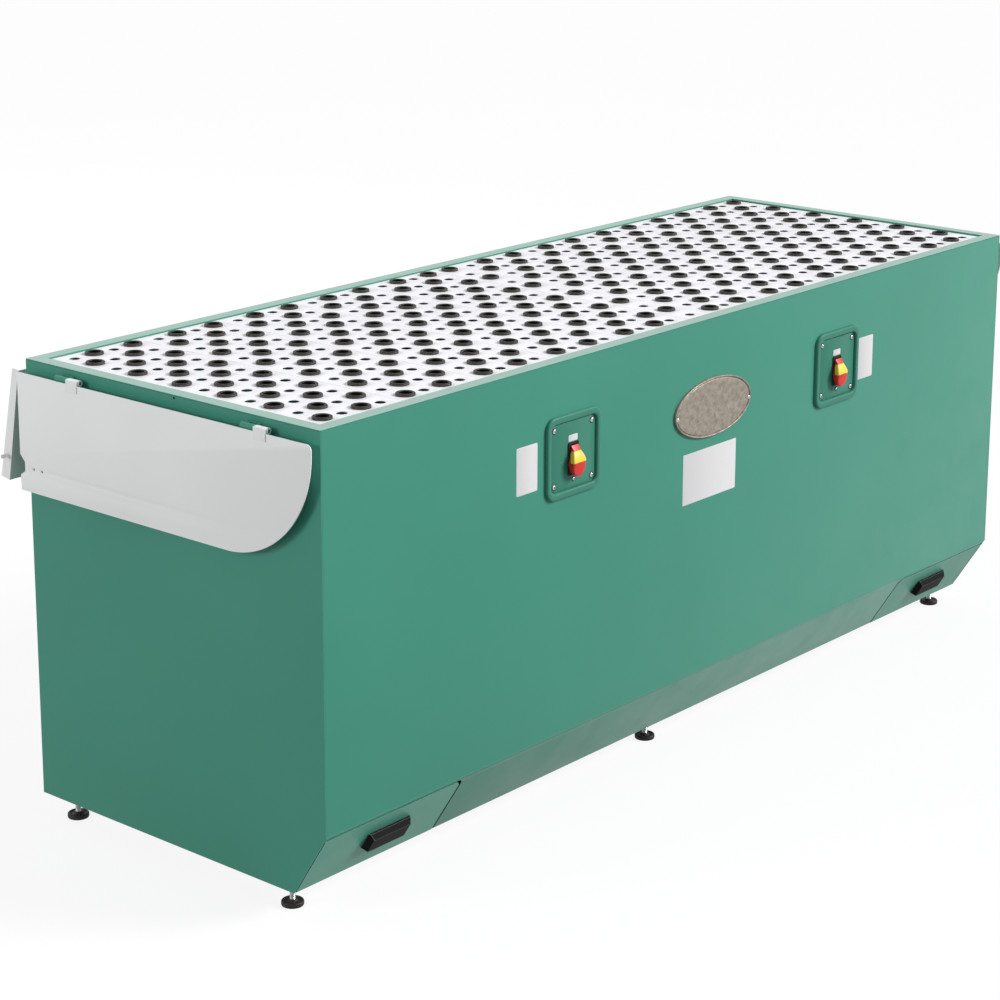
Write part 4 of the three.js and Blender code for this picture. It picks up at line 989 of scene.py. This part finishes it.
def add_switch(side):
    middle = on_front(f"{side}_switch_plate")
    shape = bmesh.new()
    low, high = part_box(f"{side}_switch_plate")
    outline = rounded_rectangle(high.x - low.x, high.z - low.z, PLATE_CORNER)
    back = basis(X, Z, -Y, (middle.x, high.y, middle.z))
    add_plate(shape, outline, high.y - low.y, PLATE_EDGE, back)
    # In the darker green, a painted shade of the recess
    add_piece(
        f"{side}_plate", shape, "green_paint", [f"{side}_switch_plate"], look="painted_shade_green")
    face = middle - PLATE_FACE * Y
    screws = [
        (face + Vector((u * SCREW_SPREAD[0], 0, v * SCREW_SPREAD[1])), PLATE_SCREW)
        for u in (-1, 1) for v in (-1, 1)
    ]
    screws.append((face + Vector((LOW_SCREW_SHIFT, 0, -LOW_SCREW_DROP)), LOW_SCREW))
    shape, dark = bmesh.new(), bmesh.new()
    for place, size in screws:
        pan_screw(shape, place, *size)
        painted_screw_shade(dark, place, *size)
    add_piece(f"{side}_plate_screws", shape, "zinc_steel")
    # Dark rings and crosses on the screws: painted shade
    add_piece(f"{side}_screw_painted_shade", dark, "black_plastic")
    add_film(f"{side}_switch_label", rounded_rectangle(*SWITCH_LABEL), face + LABEL_RISE * Z)
    centre = face - SWITCH_DROP * Z
    add_bezel(side, centre)
    add_paddle(side, centre - BEZEL_THICKNESS * Y)


def add_bezel(side, centre):
    """Black bezel: a raised lip round the paddle's pocket, with the housing behind it."""
    shape = bmesh.new()
    width, height = BEZEL
    loops = []
    for inset, rise in BEZEL_STEPS:
        span = 2 * inset * MM
        points = rounded_rectangle(width - span, height - span, (BEZEL_CORNER - inset) * MM, 4)
        loops.append([(u, v, rise * MM) for u, v in points])
    loft(shape, loops, True, basis(X, Z, -Y, centre))
    low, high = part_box(f"{side}_switch_body")
    inset_x, inset_z = HOUSING_INSET
    housing_low = (low.x + inset_x, FRONT + HOUSING_SINK, low.z + inset_z)
    housing_high = (high.x - inset_x, high.y, high.z - inset_z)
    rounded_box(shape, housing_low, housing_high, MOULDED_EDGE)
    add_piece(f"{side}_bezel", shape, "black_plastic", [f"{side}_switch_body"])


def paddle_section(height, half_width, reach, back, round_share):
    """One level of the paddle in (x, out, up): flat behind, with round front corners."""
    radius = min(half_width, reach - back) * round_share
    points = [(half_width, back)]
    points += arc((half_width - radius, reach - radius), radius, 0, 90, 5)
    points += arc((radius - half_width, reach - radius), radius, 90, 180, 5)
    points += [(-half_width, back)]
    return [(u, out, height) for u, out in points]


def paddle_size(height, box):
    """Half the paddle's width and its reach: a leaning tab, the key's flare, a round tongue."""
    top, key_top, key_low, low, reach, half = box
    if height > key_top:
        share = (top - height) / (top - key_top)
        return PADDLE_TAB, reach * (PADDLE_LIP + (PADDLE_SHOULDER - PADDLE_LIP) * share)
    if height > key_low:
        flare = math.sin((key_top - height) / (key_top - key_low) * math.pi / 2)
        width = PADDLE_TAB + (half - PADDLE_TAB) * flare
        return width, reach * (PADDLE_SHOULDER + (1 - PADDLE_SHOULDER) * flare)
    share = (key_low - height) / (key_low - low)
    below = max(0.0, low + half - height) / half
    return half * math.sqrt(max(0.02, 1 - below ** 2)), reach * (1 - (1 - PADDLE_TIP) * share)


def seat_reach(reach):
    """How far out the seat under the key lies."""
    return max(reach - KEY_SEAT, KEY_SEAT_LEAST)


def add_paddle(side, centre):
    """Red paddle with a seat across it, and the yellow key that pulls out of the seat."""
    paddle_low, paddle_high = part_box(f"{side}_switch_paddle")
    key_low, key_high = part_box(f"{side}_switch_key")
    half = (paddle_high.x - paddle_low.x) / 2
    reach = centre.y - paddle_low.y
    box = (paddle_high.z, key_high.z, key_low.z, paddle_low.z, reach, half)
    pivot = joint_place(f"{side}_paddle_hinge").z
    tuck = math.tan(math.radians(joint_reach(f"{side}_paddle_hinge")))

    def level(height, half_width, out):
        """A level of the paddle, its back hollowed below the pivot so that it can swing in."""
        back = PADDLE_BACK + max(0.0, pivot - height) * tuck
        return paddle_section(height, half_width, out, back, PADDLE_ROUND)

    matrix = basis(X, -Y, Z, (centre.x, centre.y, 0))
    drop = paddle_low.z - paddle_high.z
    heights = [paddle_high.z + drop * step / PADDLE_LEVELS for step in range(PADDLE_LEVELS + 1)]
    seat_top, seat_low = key_high.z + KEY_GAP, key_low.z - KEY_GAP
    loops = [level(h, *paddle_size(h, box)) for h in heights if h > seat_top + KEY_SEAT_CLEAR]
    loops.append(level(seat_top, *paddle_size(seat_top, box)))
    for height in (seat_top, seat_low):
        width, out = paddle_size(height, box)
        loops.append(level(height, width - KEY_SEAT_NARROWING, seat_reach(out)))
    loops.append(level(seat_low, *paddle_size(seat_low, box)))
    loops += [level(h, *paddle_size(h, box)) for h in heights if h < seat_low - KEY_SEAT_CLEAR]
    shape = bmesh.new()
    loft(shape, loops, True, matrix)
    rounded_box(shape, *PADDLE_BLOCK, MOULDED_EDGE, Matrix.Translation(centre))
    piece = add_piece(
        f"{side}_paddle", shape, "red_plastic", [f"{side}_switch_paddle"], f"{side}_paddle", 38.0)
    round_edges(piece, PADDLE_EDGE)
    loops = []
    for step in range(KEY_LEVELS + 1):
        height = key_high.z + (key_low.z - key_high.z) * step / KEY_LEVELS
        width, out = paddle_size(height, box)
        back = seat_reach(out) + KEY_GAP
        wider, further = KEY_OVERHANG
        loops.append(paddle_section(height, width + wider, out + further, back, KEY_ROUND))
    shape = bmesh.new()
    loft(shape, loops, True, matrix)
    piece = add_piece(
        f"{side}_key", shape, "yellow_plastic", [f"{side}_switch_key"], f"{side}_key", 38.0)
    round_edges(piece, KEY_EDGE)


# Badge and stickers

def cast_relief(u, v):
    """How rough the casting is at a place: fractal rock with sharp ridges through it."""
    rock = noise.fractal(Vector((u * 60, v * 60, 3.1)), 0.9, 2.1, 5)
    ridge = abs(noise.noise(Vector((u * 24 + 5, v * 34, 0.7))))
    return 0.75 * rock - 1.5 * ridge + 0.45


def ellipse_row(half_x, half_z, out, relief=0.0):
    points = [(half_x * u, half_z * v) for u, v in circle(1.0, BADGE_POINTS)]
    return [(u, v, out + relief * cast_relief(u, v)) for u, v in points]


def add_badge():
    """A bare cast oval: a raised rounded border round a rough field, held by two rivets."""
    low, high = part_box("badge")
    middle = on_front("badge")
    half_x = BADGE_NARROWING * (high.x - low.x) / 2
    half_z = BADGE_HEIGHTENING * (high.z - low.z) / 2
    rows = [
        ellipse_row(half_x - inset * MM, half_z - inset * MM, rise * MM)
        for inset, rise in BADGE_STEPS
    ]
    for ring in range(1, BADGE_RINGS + 1):
        inward = ring / BADGE_RINGS * BADGE_FIELD_SPAN
        field = [(half - BADGE_FIELD_INSET) * (1 - inward) for half in (half_x, half_z)]
        fade = min(1.0, inward * BADGE_FADE)
        relief = BADGE_RELIEF * fade * fade * (3 - 2 * fade)
        rows.append(ellipse_row(*field, BADGE_FIELD_RISE, relief))
    shape = bmesh.new()
    loft(shape, rows, True, basis(X, Z, -Y, middle))
    add_piece("badge_plate", shape, "cast_badge", ["badge"], smooth=60.0)
    shape = bmesh.new()
    for side in (-1, 1):
        place = middle + Vector((side * RIVET_SPREAD, -RIVET_RISE, -RIVET_DROP))
        turned(shape, in_metres(RIVET_PROFILE), 28, basis(X, Z, -Y, place))
    add_piece("badge_rivets", shape, "zinc_steel", smooth=50.0)


def add_stickers():
    for name, (x_from, x_to, top, low, radius) in STICKERS.items():
        outline = rounded_rectangle((x_to - x_from) * MM, (low - top) * MM, radius * MM)
        x, z = (x_from + x_to) / 2 * MM, RIM_TOP - (top + low) / 2 * MM
        add_film(name, outline, (x, FRONT, z))


# Hinges, drawn in (outward, along, up) about the pin

def barrel(shape, start, matrix, bore, length):
    profile = [
        (bore, 0), (KNUCKLE - KNUCKLE_EDGE, 0), (KNUCKLE, KNUCKLE_EDGE),
        (KNUCKLE, length - KNUCKLE_EDGE), (KNUCKLE - KNUCKLE_EDGE, length), (bore, length),
    ]
    turned(shape, profile, 24, matrix @ basis(Z, X, Y, (0, start, 0)), ring=True)


def strap(shape, start, matrix):
    """The moving half: a leaf that comes up the plate's outside, over the pin and round it."""
    outside = PLATE_OFFSET + SHEET + LEAF
    low = -WING_EDGE_DROP - LEAF_DROP
    corner = (outside - STRAP_BEND, KNUCKLE - STRAP_BEND)
    section = [
        (outside, low), *arc(corner, STRAP_BEND, 0, 90, 6), (0, KNUCKLE),
        (0, KNUCKLE - LEAF), *arc(corner, STRAP_BEND - LEAF, 90, 0, 6), (outside - LEAF, low),
    ]
    ends = (start, start + STRAP_LENGTH)
    loft(shape, [[(u, along, v) for u, v in section] for along in ends], True, matrix)
    barrel(shape, start, matrix, PIN + PIECE_GAP, STRAP_LENGTH)


def add_knuckle(name, pin, start, matrix, strap_length, length):
    """The fixed half: a barrel on a web from the cabinet's leaf, and the pin with round ends."""
    shape = bmesh.new()
    wall = PIECE_GAP - HINGE_REACH
    begin, end = start + strap_length + PIECE_GAP, start + length
    barrel(shape, begin, matrix, PIN - PIN_PRESS, end - begin)
    rounded_box(shape, (wall, begin, -WEB / 2), (-PIN, end, WEB / 2), WEB_EDGE, matrix)
    leaf_low, leaf_high = (wall, begin, -FIXED_LEAF_DROP), (wall + LEAF, end, KNUCKLE)
    rounded_box(shape, leaf_low, leaf_high, LEAF_EDGE, matrix)
    profile = [
        (PIN - PIN_EDGE, 0), (PIN, PIN_EDGE), (PIN, length - PIN_EDGE), (PIN - PIN_EDGE, length),
    ]
    turned(shape, profile, 20, matrix @ basis(Z, X, Y, (0, start, 0)))
    add_piece(name, shape, "green_paint", [pin])


def wing_outline(rear):
    """The wing in (y, up) about its hinge line: two round front corners and the stud's notch."""
    top, low = -WING_EDGE_DROP, -WING_EDGE_DROP - WING_HEIGHT
    front = FRONT + WING_FRONT_GAP
    notch_top = -NOTCH_DROP + NOTCH_FLAT / 2
    notch_low = notch_top - NOTCH_FLAT
    points = arc((front + WING_CORNER, top - WING_CORNER), WING_CORNER, 90, 180, 8)
    points += arc((front + WING_RADIUS, low + WING_RADIUS), WING_RADIUS, 180, 270, 48)
    points += [
        (rear, low), (rear, notch_low - NOTCH_LOW_RAMP), (rear - NOTCH_DEPTH, notch_low),
        (rear - NOTCH_DEPTH, notch_top), (rear, notch_top + NOTCH_TOP_RAMP), (rear, top),
    ]
    return points


def add_wing(side, sign):
    """A wing with its straps, and the fixed half of each of its hinges."""
    axis = joint_place(f"{side}_wing_hinge")
    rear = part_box(f"{side}_wing")[1].y
    hole_y = rear - WING_HOLE_SETBACK
    holes = [
        circle(WING_HOLE, 16, (y, -WING_HOLE_DROP)) for y in (hole_y, hole_y - WING_HOLE_SPACING)
    ]
    outward = sign * X
    inner_face = basis(Y, Z, outward, (axis.x + sign * PLATE_OFFSET, 0, axis.z))
    shape = bmesh.new()
    add_plate(shape, wing_outline(rear), SHEET, WING_EDGE, inner_face, holes)
    hinge = basis(outward, Y, Z, (axis.x, 0, axis.z))
    pins = {end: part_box(f"{side}_{end}_hinge_pin")[0].y for end in ("front", "rear")}
    for start in pins.values():
        strap(shape, start, hinge)
    add_piece(f"{side}_wing_plate", shape, "grey_paint", [f"{side}_wing"], f"{side}_wing")
    for end, start in pins.items():
        pin = f"{side}_{end}_hinge_pin"
        add_knuckle(f"{side}_{end}_knuckle", pin, start, hinge, STRAP_LENGTH, HINGE_LENGTH)


def threaded(radius, thread, low, high):
    """The profile of a threaded stem between two heights."""
    depth, pitch = thread
    profile = []
    height = low
    while height < high - pitch:
        profile += [(radius, height), (radius - depth, height + pitch / 2)]
        height += pitch
    return profile + [(radius, height), (radius - depth, high)]


def add_stud(side, sign):
    """The stud that catches a raised wing: a washer and a threaded bolt on the shield."""
    name = f"{side}_latch_stud"
    low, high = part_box(name)
    place = box_middle(name)
    place.x = sign * min(abs(low.x), abs(high.x))
    bolt = threaded(STUD_RADIUS, STUD_THREAD, STUD_THREAD_START, STUD_LENGTH)
    profile = [*in_metres(STUD_HEAD), *bolt, (0, STUD_LENGTH)]
    shape = bmesh.new()
    turned(shape, profile, 24, basis(Y, sign * Z, sign * X, place))
    add_piece(f"{side}_stud", shape, "zinc_steel", [name], "rear_shield")


def add_shield_hinges():
    axis = joint_place("rear_shield_hinge")
    matrix = basis(Y, X, Z, (0, axis.y, axis.z))
    for side in ("left", "right"):
        pin = f"shield_{side}_hinge_pin"
        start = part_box(pin)[0].x
        name = f"shield_{side}_knuckle"
        add_knuckle(name, pin, start, matrix, KNUCKLE_LENGTH, 2 * KNUCKLE_LENGTH)


# Feet and gland

def add_feet():
    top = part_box("base_pan")[0].z - PIECE_GAP
    low, inner = top - NUT_HEIGHT, NUT_RADIUS * NUT_CHAMFER_SHARE
    nut = [
        (inner, low), (NUT_RADIUS, low + NUT_CHAMFER), (NUT_RADIUS, top - NUT_CHAMFER),
        (inner, top),
    ]
    for index in range(FEET):
        name = f"foot_{index + 1}"
        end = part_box(name)[1].z
        middle = box_middle(name)
        matrix = Matrix.Translation((middle.x, middle.y, 0))
        shape = bmesh.new()
        turned(shape, in_metres(PAD_PROFILE), 48, matrix)
        add_piece(f"{name}_pad", shape, "black_rubber", [name])
        shape = bmesh.new()
        bolt = threaded(STEM, STEM_THREAD, STEM_THREAD_START, end)
        turned(shape, [(0, STEM_LOW), *bolt, (0, end)], 20, matrix)
        turned(shape, nut, 6, matrix)
        add_piece(f"{name}_stem", shape, "zinc_steel", [name])


def add_gland():
    middle = box_middle("cable_gland")
    matrix = basis(X, -Z, Y, (middle.x, REAR, middle.z))
    shape = bmesh.new()
    turned(shape, in_metres(GLAND_PROFILE), 40, matrix, ring=True)
    turned(shape, [(GLAND_NUT_RADIUS, height) for height in GLAND_NUT_SPAN], 6, matrix)
    add_piece("gland", shape, "black_plastic", ["cable_gland"], smooth=35.0)


def dress_frame():
    """Every CAD node gets the finish of its slot, and the sheet metal that stays soft edges."""
    for row in frame["record"]["subparts"]:
        name = row["node"]
        # The top frame takes the rim paint, with its painted sheen
        look = "rim_paint" if name == "top_frame" else row["material_slot"]
        for slot in frame["nodes"][name].material_slots:
            slot.material = finishes[look]
    for width, names in SOFT_EDGES.items():
        for name in names:
            soften(name, width)


add_studio()
dress_frame()
add_top()
add_front_panel()
for side, sign in (("left", -1), ("right", 1)):
    add_pull(side)
    add_switch(side)
    add_wing(side, sign)
    add_stud(side, sign)
add_badge()
add_stickers()
add_shield_hinges()
add_feet()
add_gland()
